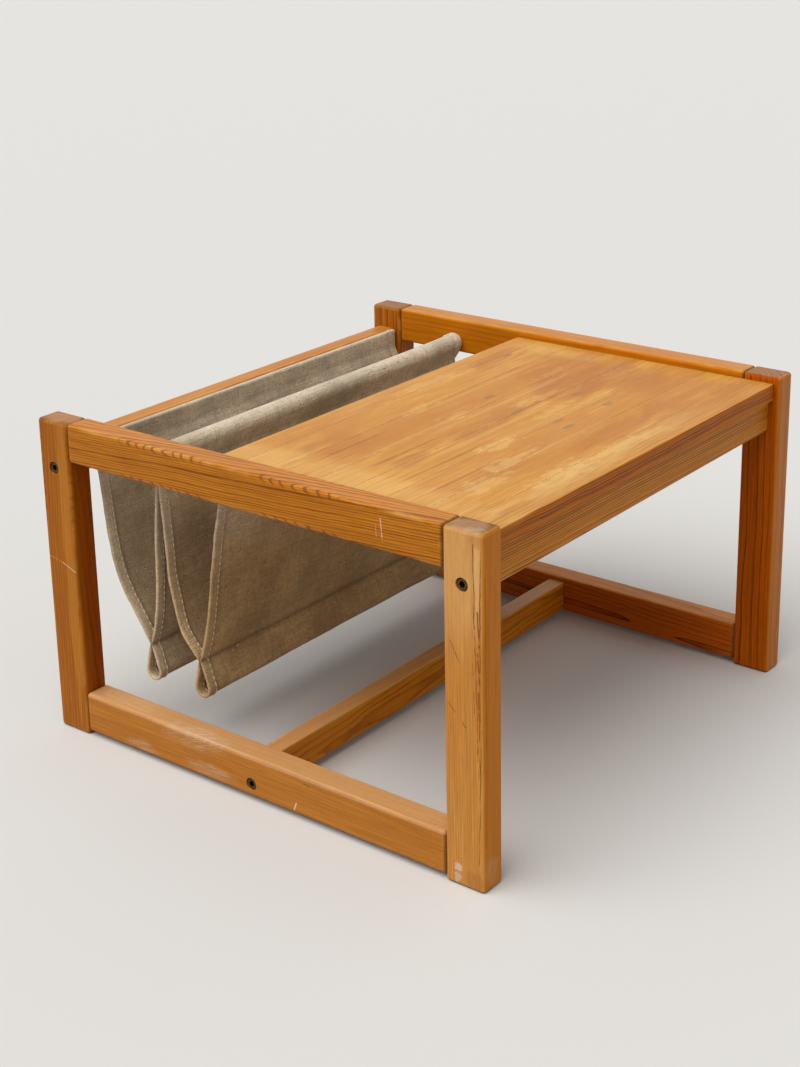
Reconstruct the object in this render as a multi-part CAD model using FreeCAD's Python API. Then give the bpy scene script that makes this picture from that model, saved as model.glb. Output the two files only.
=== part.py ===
"""Magazine table with rack: two pine end frames, four cross members, a board top and a canvas sling.

Millimetres. X runs from the rack side to the table-top side, Y from the near end frame to the far one,
Z up. The origin is on the floor, under the middle of the table.
"""
import FreeCAD, Part
import math
import os

Vector = FreeCAD.Vector

# Overall size
overall_width = 580.0
overall_depth = 600.0
overall_height = 362.0

# Legs
leg_width = 45.0
leg_thickness = 30.0
leg_edge_radius = 4.0

# Rails of the end frames, as thick as the legs
upper_rail_height = 42.5
lower_rail_height = 45.0
lower_rail_lift = 6.0
rail_edge_radius = 3.5

# Cross members: rack rail, top apron, top cleat and stretcher share one thickness; the cleat is less deep
member_thickness = 22.0
member_height = 37.0
cleat_height = 24.0
member_edge_radius = 2.0
member_top_below_legs = 27.0
rack_rail_setback = 10.0
apron_setback = 12.5
stretcher_lift = 8.5
stretcher_offset = -3.0

# Table top, edge-glued from staves that share its width unevenly, listed from the rack side
stave_shares = (32, 42, 52, 42, 43, 49, 47, 38)
board_thickness = 19.0
board_end_gap = 0.5
board_edge_setback = 7.0
board_arris_radius = 1.5

# Rack opening between rack rail and board, and its rod, loose in blind sockets of the upper rails
rack_opening = 196.0
rod_radius = 9.0
rod_from_rack_face = 100.0
rod_axis_below_legs = 30.2
rod_socket_depth = 15.0
rod_end_clearance = 0.5
rod_running_clearance = 0.06

# Connector bolts with socket heads, and their barrel nuts set into the members from below
bolt_radius = 4.0
bolt_hole_clearance = 0.3
bolt_head_radius = 6.5
bolt_head_height = 8.0
bolt_head_recess = 1.0
bolt_head_clearance = 0.4
bolt_head_chamfer = 0.7
bolt_tip_chamfer = 0.8
bolt_tip_stand = 1.0
hex_across_flats = 6.0
hex_depth = 4.5
bolt_above_underside = 11.0
nut_radius = 6.0
nut_length = 18.0
nut_inset = 32.0
nut_clearance = 0.1
nut_end_clearance = 0.5
thread_clearance = 0.05

# Wooden dowels
dowel_radius = 4.0
dowel_clearance = 0.05
dowel_end_clearance = 0.5
dowel_below_top = 8.5
locating_dowel_length = 36.0
frame_dowel_length = 36.0
frame_dowel_in_leg = 16.0
frame_dowel_pitch = 21.0

# Screws that hold the board down, driven up through apron and cleat
screw_length = 30.0
screw_bite = 13.0
screw_radius = 2.0
screw_clearance = 0.1
screw_head_radius = 4.0
screw_head_height = 2.6
screw_place_shares = (-0.34, -0.12, 0.12, 0.34)

# Canvas sling and its fixing: the hem is tacked under a strip, and the cloth folds down over it
canvas_thickness = 1.4
canvas_near_gap = 13.0
canvas_far_gap = 3.0
canvas_below_member_top = 0.5
sleeve_clearance = 0.3
sleeve_seam_below_rod = 20.0
neck_drop = 224.0
tunnel_height = 41.0
tunnel_radius = 9.2
tunnel_lean = 2.0
hem_below_strip = 2.0
strip_thickness = 2.2
strip_height = 18.0
strip_end_inset = 2.0
tack_head_radius = 2.5
tack_head_height = 0.6
tack_head_clearance = 0.2
tack_radius = 0.7
tack_clearance = 0.1
tack_bite = 9.0
tack_count = 9

# Places on the four canvas walls: shares of the way from wall to wall of a pocket, and of the neck's drop
first_wall_shares = ((0.112, 0.190), (0.178, 0.470), (0.300, 0.690))
first_neck_share = 0.745
second_wall_shares = ((0.816, 0.905), (0.878, 0.715), (0.925, 0.410))
third_wall_shares = ((0.055, 0.410), (0.118, 0.690), (0.230, 0.870))
second_neck_share = 0.492
fourth_wall_shares = ((0.615, 0.850), (0.715, 0.620), (0.830, 0.330))

# One overrun serves all cuts
overrun = 1.0

# Levels and planes worked out from the sizes above
left = -overall_width / 2
right = overall_width / 2
near = -overall_depth / 2
far = overall_depth / 2
inner_near = near + leg_thickness
inner_far = far - leg_thickness
inner_length = inner_far - inner_near
rail_left = left + leg_width
rail_right = right - leg_width
upper_rail_underside = overall_height - upper_rail_height
member_top_level = overall_height - member_top_below_legs
member_underside = member_top_level - member_height
rack_rail_left = left + rack_rail_setback
rack_face = rack_rail_left + member_thickness
apron_left = right - apron_setback - member_thickness
board_left = rack_face + rack_opening
board_width = right - board_edge_setback - board_left
stretcher_left = stretcher_offset - member_thickness / 2
rod_x = rack_face + rod_from_rack_face
rod_axis_level = overall_height - rod_axis_below_legs
canvas_near = inner_near + canvas_near_gap
canvas_far = inner_far - canvas_far_gap
head_bore_depth = bolt_head_recess + bolt_head_height
bolt_length = leg_thickness - head_bore_depth + nut_inset + nut_radius + bolt_tip_stand
pad_depth = 2 * canvas_thickness + strip_thickness + tack_head_height + tack_head_clearance
fold_level = member_top_level - canvas_below_member_top - pad_depth / 2
strip_underside = fold_level - strip_height

X_AXIS = Vector(1, 0, 0)
Y_AXIS = Vector(0, 1, 0)
Z_AXIS = Vector(0, 0, 1)


def block(low, high):
    """Box between two corners."""
    size = high.sub(low)
    return Part.makeBox(size.x, size.y, size.z, low)


def softened(shape, radius, along=None):
    """Shape with its edges rounded: all of them, or those that run along one direction."""
    def chosen(edge):
        return along is None or abs(edge.tangentAt(edge.FirstParameter).dot(along)) > math.cos(math.pi / 4)

    return shape.makeFillet(radius, [edge for edge in shape.Edges if chosen(edge)])


def drill(start, direction, radius, depth):
    """Round cutter that also runs out backwards past the face where it starts."""
    back = Vector(direction).multiply(-overrun)
    return Part.makeCylinder(radius, depth + overrun, start.add(back), direction)


def to_far_side(shape):
    """Mirror image of a near piece in the far half of the table."""
    return shape.mirror(Vector(), Y_AXIS)


def group(solids):
    """Separate solids in one node."""
    return Part.makeCompound(solids)


def bolted_members():
    """Left face and underside of each member that is bolted to the end frames."""
    return (
        (rack_rail_left, member_underside),
        (apron_left, member_underside),
        (stretcher_left, stretcher_lift),
    )


def bolt_places():
    """X and Z of the bolts, in the middle of the members' thickness."""
    middle = member_thickness / 2
    return [(x + middle, underside + bolt_above_underside) for x, underside in bolted_members()]


def dowel_places():
    """X and Z of the locating dowels: one at each end of every member, the cleat too."""
    tops = [(x, underside + member_height) for x, underside in bolted_members()]
    tops.append((board_left, member_top_level))
    return [(x + member_thickness / 2, top - dowel_below_top) for x, top in tops]


def end_frame_cutters():
    """Holes in the near end frame for bolts, locating dowels and the rack rod."""
    cutters = []
    for x, z in bolt_places():
        face = Vector(x, near, z)
        cutters.append(drill(face, Y_AXIS, bolt_head_radius + bolt_head_clearance, head_bore_depth))
        cutters.append(drill(face, Y_AXIS, bolt_radius + bolt_hole_clearance, leg_thickness + overrun))
    dowel_depth = locating_dowel_length / 2 + dowel_end_clearance
    for x, z in dowel_places():
        start = Vector(x, inner_near, z)
        cutters.append(drill(start, -Y_AXIS, dowel_radius + dowel_clearance, dowel_depth))
    socket = Vector(rod_x, inner_near, rod_axis_level)
    cutters.append(drill(socket, -Y_AXIS, rod_radius + rod_running_clearance, rod_socket_depth))
    return cutters


def frame_dowel_levels(underside, height):
    """Heights of the two dowels in one leg joint."""
    middle = underside + height / 2
    return (middle - frame_dowel_pitch / 2, middle + frame_dowel_pitch / 2)


def frame_dowel_places():
    """Leg joints of the near frame: the joint's point and the way from the leg into the rail."""
    y = near + leg_thickness / 2
    places = []
    rails = ((upper_rail_underside, upper_rail_height), (lower_rail_lift, lower_rail_height))
    for underside, height in rails:
        for z in frame_dowel_levels(underside, height):
            places.append((Vector(rail_left, y, z), X_AXIS))
            places.append((Vector(rail_right, y, z), -X_AXIS))
    return places


def frame_dowel_cutters():
    """Blind holes on both sides of every leg joint."""
    radius = dowel_radius + dowel_clearance
    leg_depth = frame_dowel_in_leg + dowel_end_clearance
    rail_depth = frame_dowel_length - frame_dowel_in_leg + dowel_end_clearance
    cutters = []
    for point, inward in frame_dowel_places():
        cutters.append(drill(point, inward, radius, rail_depth))
        cutters.append(drill(point, -inward, radius, leg_depth))
    return cutters


def near_leg(x):
    """Leg of the near frame, rounded on all edges."""
    low = Vector(x, near, 0)
    high = Vector(x + leg_width, inner_near, overall_height)
    return softened(block(low, high), leg_edge_radius)


def near_rail(underside, height):
    """Rail between the near legs; its rounded ends leave a groove at each joint."""
    low = Vector(rail_left, near, underside)
    high = Vector(rail_right, inner_near, underside + height)
    return softened(block(low, high), rail_edge_radius)


def end_frames():
    """Legs and rails of both end frames, with their holes."""
    near_pieces = {
        "leg_rack_near": near_leg(left),
        "leg_top_near": near_leg(right - leg_width),
        "upper_rail_near": near_rail(upper_rail_underside, upper_rail_height),
        "lower_rail_near": near_rail(lower_rail_lift, lower_rail_height),
    }
    cutters = end_frame_cutters() + frame_dowel_cutters()
    pieces = {}
    for name, shape in near_pieces.items():
        drilled = shape.cut(cutters)
        pieces[name] = drilled
        pieces[name.replace("near", "far")] = to_far_side(drilled)
    return pieces


def frame_dowels():
    """Dowels inside the leg joints of both frames."""
    dowels = []
    for point, inward in frame_dowel_places():
        start = point.add(Vector(inward).multiply(-frame_dowel_in_leg))
        dowels.append(Part.makeCylinder(dowel_radius, frame_dowel_length, start, inward))
    return {
        "frame_dowels_near": group(dowels),
        "frame_dowels_far": group([to_far_side(dowel) for dowel in dowels]),
    }


def member_end_cutters():
    """Holes at the near ends of all members: locating dowels, and bolts with their barrel nuts."""
    dowel_depth = locating_dowel_length / 2 + dowel_end_clearance
    cutters = [drill(Vector(x, inner_near, z), Y_AXIS, dowel_radius + dowel_clearance, dowel_depth)
               for x, z in dowel_places()]
    bolt_depth = nut_inset + nut_radius + bolt_tip_stand + nut_end_clearance
    nut_depth = bolt_above_underside + nut_length / 2 + nut_end_clearance
    for x, z in bolt_places():
        cutters.append(drill(Vector(x, inner_near, z), Y_AXIS, bolt_radius + bolt_hole_clearance, bolt_depth))
        nut_start = Vector(x, inner_near + nut_inset, z - bolt_above_underside)
        cutters.append(drill(nut_start, Z_AXIS, nut_radius + nut_clearance, nut_depth))
    return cutters


def cross_member(x, underside, height, extra_cutters=()):
    """Bar between the end frames, drilled at both ends."""
    low = Vector(x, inner_near, underside)
    high = Vector(x + member_thickness, inner_far, underside + height)
    bar = softened(block(low, high), member_edge_radius, along=Y_AXIS)
    near_cutters = member_end_cutters()
    far_cutters = [to_far_side(cutter) for cutter in near_cutters]
    return bar.cut(near_cutters + far_cutters + list(extra_cutters))


def screw_places():
    """X and Y of the screws, a row of them in the cleat and in the apron."""
    return [(x + member_thickness / 2, share * inner_length)
            for x in (board_left, apron_left) for share in screw_place_shares]


def screw_seat_level():
    """Height at which a screw head meets the wood above it."""
    return member_top_level + screw_bite - screw_length


def screw_cutters(underside):
    """Clearance holes up through a member, with a deep seat for each screw head."""
    seat_depth = screw_seat_level() - underside
    cutters = []
    for x, y in screw_places():
        start = Vector(x, y, underside)
        cutters.append(drill(start, Z_AXIS, screw_head_radius + screw_clearance, seat_depth))
        cutters.append(drill(start, Z_AXIS, screw_radius + screw_clearance, member_height + overrun))
    return cutters


def board_screw_cutters():
    """Blind holes in the board's underside."""
    return [drill(Vector(x, y, member_top_level), Z_AXIS, screw_radius + thread_clearance,
                  screw_bite + screw_clearance) for x, y in screw_places()]


def cross_members():
    """Rack rail, apron and cleat under the board, and the stretcher near the floor."""
    cleat_underside = member_top_level - cleat_height
    rack_tacks = tack_cutters(rack_face, -X_AXIS)
    apron_screws = screw_cutters(member_underside)
    cleat_cutters = screw_cutters(cleat_underside) + tack_cutters(board_left, X_AXIS)
    return {
        "rack_rail": cross_member(rack_rail_left, member_underside, member_height, rack_tacks),
        "top_apron": cross_member(apron_left, member_underside, member_height, apron_screws),
        "top_cleat": cross_member(board_left, cleat_underside, cleat_height, cleat_cutters),
        "stretcher": cross_member(stretcher_left, stretcher_lift, member_height),
    }


def board_staves():
    """Staves of the top, side by side; the outermost two have a rounded top arris."""
    staves = {}
    cutters = board_screw_cutters()
    x = board_left
    board_top = member_top_level + board_thickness
    for number, share in enumerate(stave_shares, start=1):
        width = board_width * share / sum(stave_shares)
        low = Vector(x, inner_near + board_end_gap, member_top_level)
        high = Vector(x + width, inner_far - board_end_gap, board_top)
        stave = block(low, high)
        outer_x = {1: low.x, len(stave_shares): high.x}.get(number)
        if outer_x is not None:
            middle = Vector(outer_x, 0, board_top)
            arris = min(stave.Edges, key=lambda edge: edge.CenterOfMass.distanceToPoint(middle))
            stave = stave.makeFillet(board_arris_radius, [arris])
        staves[f"stave_{number}"] = stave.cut(cutters)
        x += width
    return staves


def hexagon_prism(centre, across_flats, depth):
    """Hexagonal socket cutter that runs along Y from a point on the bolt's head."""
    corner_radius = across_flats / math.sqrt(3)
    corners = [centre.add(Vector(corner_radius * math.cos(turn * math.pi / 3), -overrun,
                                 corner_radius * math.sin(turn * math.pi / 3))) for turn in range(6)]
    face = Part.Face(Part.makePolygon(corners + corners[:1]))
    return face.extrude(Vector(0, depth + overrun, 0))


def near_bolt(x, z):
    """Socket-head bolt, its head sunk in the frame's outer face."""
    top = Vector(x, near + bolt_head_recess, z)
    seat = Vector(x, near + head_bore_depth, z)
    head = Part.makeCylinder(bolt_head_radius, bolt_head_height, top, Y_AXIS)
    rim = [edge for edge in head.Edges if edge.BoundBox.YMax < seat.y - bolt_head_chamfer]
    head = head.makeChamfer(bolt_head_chamfer, rim)
    shank = Part.makeCylinder(bolt_radius, bolt_length, seat, Y_AXIS)
    tip = [edge for edge in shank.Edges if edge.BoundBox.YMin > seat.y + bolt_length - bolt_tip_chamfer]
    shank = shank.makeChamfer(bolt_tip_chamfer, tip)
    bolt = head.fuse(shank).cut(hexagon_prism(top, hex_across_flats, hex_depth))
    return bolt.removeSplitter()


def near_nut(x, z):
    """Barrel nut, standing upright round the bolt's line."""
    y = inner_near + nut_inset
    barrel = Part.makeCylinder(nut_radius, nut_length, Vector(x, y, z - nut_length / 2), Z_AXIS)
    start = Vector(x, y - nut_radius, z)
    return barrel.cut(drill(start, Y_AXIS, bolt_radius + thread_clearance, 2 * nut_radius + overrun))


def near_locating_dowel(x, z):
    """Dowel half in the frame and half in the member."""
    start = Vector(x, inner_near - locating_dowel_length / 2, z)
    return Part.makeCylinder(dowel_radius, locating_dowel_length, start, Y_AXIS)


def both_ends(near_solids):
    """Group of near solids and their mirror images."""
    return group(near_solids + [to_far_side(solid) for solid in near_solids])


def board_screw(x, y):
    """Screw that points up into the board."""
    seat = Vector(x, y, screw_seat_level())
    shank = Part.makeCylinder(screw_radius, screw_length, seat, Z_AXIS)
    head = Part.makeCylinder(screw_head_radius, screw_head_height, seat, -Z_AXIS)
    return head.fuse(shank).removeSplitter()


def fasteners():
    """Groups of like fasteners, one node each."""
    return {
        "connector_bolts": both_ends([near_bolt(x, z) for x, z in bolt_places()]),
        "barrel_nuts": both_ends([near_nut(x, z) for x, z in bolt_places()]),
        "locating_dowels": both_ends([near_locating_dowel(x, z) for x, z in dowel_places()]),
        "top_screws": group([board_screw(x, y) for x, y in screw_places()]),
    }


def rack_rod():
    """Round rod that carries the middle of the sling."""
    reach = rod_socket_depth - rod_end_clearance
    start = Vector(rod_x, inner_near - reach, rod_axis_level)
    return Part.makeCylinder(rod_radius, inner_length + 2 * reach, start, Y_AXIS)


def tack_spots():
    """Y of the tacks, evenly spaced along a strip."""
    pitch = (canvas_far - canvas_near - 2 * strip_end_inset) / tack_count
    return [canvas_near + strip_end_inset + pitch * (number + 1 / 2) for number in range(tack_count)]


def tack_level():
    """Height of the tacks, halfway up a strip."""
    return fold_level - strip_height / 2


def tack_cutters(face_x, into_wood):
    """Tack holes through strip and hem into the wood behind the face."""
    cover = canvas_thickness + strip_thickness
    start_x = face_x - into_wood.x * cover
    depth = cover + tack_bite + tack_clearance
    radius = tack_radius + tack_clearance
    return [drill(Vector(start_x, y, tack_level()), into_wood, radius, depth) for y in tack_spots()]


def tacks(face_x, into_wood):
    """Tacks along one strip, heads against the strip."""
    solids = []
    cover = canvas_thickness + strip_thickness
    for y in tack_spots():
        seat = Vector(face_x - into_wood.x * cover, y, tack_level())
        shank = Part.makeCylinder(tack_radius, cover + tack_bite, seat, into_wood)
        head = Part.makeCylinder(tack_head_radius, tack_head_height, seat, -into_wood)
        solids.append(head.fuse(shank).removeSplitter())
    return solids


def tack_strip(face_x, into_wood):
    """Strip of wood between the hem and the folded cloth."""
    outward = -into_wood.x
    inner = face_x + outward * canvas_thickness
    outer = inner + outward * strip_thickness
    low = Vector(min(inner, outer), canvas_near + strip_end_inset, strip_underside)
    high = Vector(max(inner, outer), canvas_far - strip_end_inset, fold_level)
    return block(low, high).cut(tack_cutters(face_x, into_wood))


def offset_points(points, distance):
    """Points moved sideways, to the left of the way they run."""
    moved = []
    for index, point in enumerate(points):
        before = points[max(index - 1, 0)]
        after = points[min(index + 1, len(points) - 1)]
        way = after.sub(before).normalize()
        moved.append(point.add(Vector(-way.z, 0, way.x).multiply(distance)))
    return moved


def arcs(points):
    """Edges of three-point arcs through an odd number of points."""
    return [Part.Arc(*points[start:start + 3]).toShape() for start in range(0, len(points) - 1, 2)]


def tangent_points(apex, centre, radius):
    """Where the two tangents from an apex touch a circle: the left one first as seen from the apex."""
    reach = apex.sub(centre)
    turn = math.acos(radius / reach.Length)
    touch = []
    for angle in (-turn, turn):
        way = FreeCAD.Rotation(Y_AXIS, math.degrees(angle)).multVec(reach).normalize()
        touch.append(centre.add(way.multiply(radius)))
    return touch


def loop_edges(start, end, apex, centre, radius):
    """Straight side, round far side in two arcs, and straight side back: a sewn loop seen end on."""
    touches = tangent_points(apex, centre, radius)
    first, second = sorted(touches, key=lambda point: point.distanceToPoint(start))
    crown = centre.add(centre.sub(apex).normalize().multiply(radius))
    shoulders = []
    for touch in (first, second):
        middle = touch.sub(centre).add(crown.sub(centre)).normalize().multiply(radius)
        shoulders.append(centre.add(middle))
    return [
        Part.LineSegment(start, first).toShape(),
        Part.Arc(first, shoulders[0], crown).toShape(),
        Part.Arc(crown, shoulders[1], second).toShape(),
        Part.LineSegment(second, end).toShape(),
    ]


def wall_points(left_x, right_x, shares):
    """Places on a canvas wall, from shares of its pocket's width and of the neck's drop."""
    return [Vector(left_x + u * (right_x - left_x), canvas_near, member_top_level - v * neck_drop)
            for u, v in shares]


def fold_edges(face_x, outward):
    """Hem against the wood, fold over the strip and fall in front of it: the outer and the inner line."""
    def at(depth, level):
        return Vector(face_x + outward * depth, canvas_near, level)

    hem_end = strip_underside - hem_below_strip
    middle = pad_depth / 2
    lines = []
    for skin in (0.0, canvas_thickness):
        radius = middle - skin
        rise = radius * math.sin(math.pi / 4)
        back = at(skin, fold_level)
        hem = Part.LineSegment(at(skin, hem_end), back).toShape()
        crown = at(middle, fold_level + radius)
        front = at(pad_depth - skin, fold_level)
        up = Part.Arc(back, at(middle - rise, fold_level + rise), crown).toShape()
        down = Part.Arc(crown, at(middle + rise, fold_level + rise), front).toShape()
        fall = Part.LineSegment(front, at(pad_depth - skin, strip_underside)).toShape()
        lines.append([hem, up, down, fall])
    cut_edge = Part.LineSegment(at(0.0, hem_end), at(canvas_thickness, hem_end)).toShape()
    return lines[0], lines[1], cut_edge


def canvas_sling():
    """One long cloth: hem, pocket, sewn tunnel, rod sleeve, pocket, sewn tunnel and hem, seen end on."""
    half = canvas_thickness / 2
    neck_level = member_top_level - neck_drop
    first_neck = Vector(rack_face + first_neck_share * (rod_x - rack_face), canvas_near, neck_level)
    second_neck = Vector(rod_x + second_neck_share * (board_left - rod_x), canvas_near, neck_level)
    seam = Vector(rod_x, canvas_near, rod_axis_level - sleeve_seam_below_rod)
    side = Vector(canvas_thickness, 0, 0)
    rise = Vector(0, 0, half)
    beside = Vector(half, 0, 0)
    rack_fall = Vector(rack_face + pad_depth - half, canvas_near, strip_underside)
    top_fall = Vector(board_left - pad_depth + half, canvas_near, strip_underside)

    walls = (
        [rack_fall] + wall_points(rack_face, rod_x, first_wall_shares) + [first_neck.sub(beside)],
        [first_neck.add(beside)] + wall_points(rack_face, rod_x, second_wall_shares) + [seam.sub(beside)],
        [seam.add(beside)] + wall_points(rod_x, board_left, third_wall_shares) + [second_neck.sub(beside)],
        [second_neck.add(beside)] + wall_points(rod_x, board_left, fourth_wall_shares) + [top_fall],
    )
    upper = [offset_points(wall, half) for wall in walls]
    lower = [offset_points(wall, -half) for wall in walls]
    upper[0][0], lower[0][0] = rack_fall.add(beside), rack_fall.sub(beside)
    upper[3][-1], lower[3][-1] = top_fall.sub(beside), top_fall.add(beside)
    upper[0][-1] = upper[1][0] = first_neck.add(rise)
    upper[2][-1] = upper[3][0] = second_neck.add(rise)
    lower[1][-1] = lower[2][0] = seam.sub(rise)
    upper[1][-1], upper[2][0] = seam.sub(side), seam.add(side)
    lower[0][-1], lower[1][0] = first_neck.sub(side), first_neck.add(side)
    lower[2][-1], lower[3][0] = second_neck.sub(side), second_neck.add(side)

    rod_centre = Vector(rod_x, canvas_near, rod_axis_level)
    sleeve_inner = rod_radius + sleeve_clearance
    rack_outer, rack_inner, rack_cut = fold_edges(rack_face, 1)
    top_outer, top_inner, top_cut = fold_edges(board_left, -1)
    edges = rack_outer + arcs(upper[0]) + arcs(upper[1])
    edges += loop_edges(upper[1][-1], upper[2][0], seam, rod_centre, sleeve_inner + canvas_thickness)
    edges += arcs(upper[2]) + arcs(upper[3]) + top_outer + [top_cut] + top_inner
    edges += arcs(lower[3]) + arcs(lower[2]) + arcs(lower[1]) + arcs(lower[0]) + rack_inner + [rack_cut]
    holes = [Part.Wire(loop_edges(seam.add(rise), seam.add(rise), seam.add(rise), rod_centre, sleeve_inner))]
    for neck in (first_neck, second_neck):
        drop = tunnel_height - tunnel_radius
        centre = neck.add(Vector(tunnel_lean, 0, -drop))
        edges += loop_edges(neck.sub(side), neck.add(side), neck, centre, tunnel_radius + half)
        apex = neck.sub(rise)
        holes.append(Part.Wire(loop_edges(apex, apex, apex, centre, tunnel_radius - half)))
    outline = Part.Wire(Part.__sortEdges__(edges))
    face = Part.makeFace([outline] + holes, "Part::FaceMakerBullseye")
    cloth = face.extrude(Vector(0, canvas_far - canvas_near, 0))
    return cloth.cut(tack_cutters(rack_face, -X_AXIS) + tack_cutters(board_left, X_AXIS))


def rack_pieces():
    """Rod, sling and what fixes the sling."""
    return {
        "rack_rod": rack_rod(),
        "canvas_sling": canvas_sling(),
        "tack_strip_rack": tack_strip(rack_face, -X_AXIS),
        "tack_strip_top": tack_strip(board_left, X_AXIS),
        "tacks": group(tacks(rack_face, -X_AXIS) + tacks(board_left, X_AXIS)),
    }


def main():
    """Builds every node and writes it to its own file."""
    os.makedirs("parts", exist_ok=True)
    nodes = {}
    for pieces in (end_frames(), frame_dowels(), cross_members(), board_staves(), fasteners(), rack_pieces()):
        nodes.update(pieces)
    for name, shape in nodes.items():
        print(name, len(shape.Solids), "solid(s)", round(shape.Volume), "mm3", "valid", shape.isValid())
        shape.exportStep(f"parts/{name}.step")


main()
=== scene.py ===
"""Magazine table with rack: pine finishes, hung canvas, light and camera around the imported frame. Metres."""
import logging
import math
from dataclasses import dataclass, field, replace
from enum import Enum
from typing import Iterable, Sequence, Union

import bpy
import numpy as np
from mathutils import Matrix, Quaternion, Vector, noise


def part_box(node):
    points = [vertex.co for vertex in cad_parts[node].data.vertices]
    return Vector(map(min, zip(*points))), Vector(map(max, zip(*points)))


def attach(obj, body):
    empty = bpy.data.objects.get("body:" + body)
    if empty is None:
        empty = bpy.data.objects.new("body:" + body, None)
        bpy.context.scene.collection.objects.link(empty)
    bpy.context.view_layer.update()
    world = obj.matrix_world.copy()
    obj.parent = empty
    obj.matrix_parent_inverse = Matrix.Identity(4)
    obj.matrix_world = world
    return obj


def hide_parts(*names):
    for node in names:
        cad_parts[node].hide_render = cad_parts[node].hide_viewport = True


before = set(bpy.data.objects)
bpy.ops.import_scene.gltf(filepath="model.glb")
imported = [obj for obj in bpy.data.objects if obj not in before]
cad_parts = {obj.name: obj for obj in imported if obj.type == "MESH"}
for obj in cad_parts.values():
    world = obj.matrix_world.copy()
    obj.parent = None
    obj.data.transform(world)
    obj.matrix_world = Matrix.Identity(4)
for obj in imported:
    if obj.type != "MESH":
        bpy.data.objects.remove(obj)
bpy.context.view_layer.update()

log = logging.getLogger("magazine_table")
TABLE = "table"
Span = tuple[float, float]
Triple = tuple[float, float, float]
Stop = tuple[float, tuple[float, ...]]

# How far a seed moves a random pattern along X, Y and Z
NOISE_SHIFT: Triple = (1.0, 1.7, 2.3)
WARP_SHIFT: Triple = (1.0, 1.3, 0.7)

# Least length that a vector is divided by
TINY = 1e-9


def mm(*sizes: float) -> tuple[float, ...]:
    """Sizes given in millimetres, in metres."""
    return tuple(size / 1000 for size in sizes)


def paint(code: str) -> tuple[float, float, float, float]:
    """Linear colour of a six-figure screen colour such as D39957.

    Args:
        code: red, green and blue as pairs of hexadecimal figures.

    Returns:
        Linear red, green, blue and a full alpha.
    """
    parts = [int(code[start:start + 2], 16) / 255 for start in (0, 2, 4)]
    linear = [part / 12.92 if part <= 0.04045 else ((part + 0.055) / 1.055) ** 2.4 for part in parts]
    return (*linear, 1.0)


class Signal:
    """A number, vector or colour that runs between shader nodes, with plain arithmetic."""

    def __init__(self, shade: "Shade", socket: bpy.types.NodeSocket) -> None:
        """Keeps the socket and the shade that owns it."""
        self.shade = shade
        self.socket = socket

    def __add__(self, other: "Value") -> "Signal":
        """Sum."""
        return self.shade.math("ADD", self, other)

    def __sub__(self, other: "Value") -> "Signal":
        """Difference."""
        return self.shade.math("SUBTRACT", self, other)

    def __rsub__(self, other: "Value") -> "Signal":
        """Difference from a number on the left."""
        return self.shade.math("SUBTRACT", other, self)

    def __mul__(self, other: "Value") -> "Signal":
        """Product."""
        return self.shade.math("MULTIPLY", self, other)

    def __truediv__(self, other: "Value") -> "Signal":
        """Quotient."""
        return self.shade.math("DIVIDE", self, other)

    __radd__ = __add__
    __rmul__ = __mul__

    def step(self, low: float, high: float) -> "Signal":
        """Smooth step from 0 at low to 1 at high; low may be the larger.

        Args:
            low: input that gives 0.
            high: input that gives 1.

        Returns:
            The stepped number.
        """
        node = self.shade.add("ShaderNodeMapRange", interpolation_type="SMOOTHSTEP")
        ends = (low, high, 0.0, 1.0) if low < high else (high, low, 1.0, 0.0)
        for socket, value in zip(node.inputs, (self, *ends)):
            self.shade.put(socket, value)
        return Signal(self.shade, node.outputs["Result"])


Value = Union[float, Sequence[float], Signal]


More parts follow.
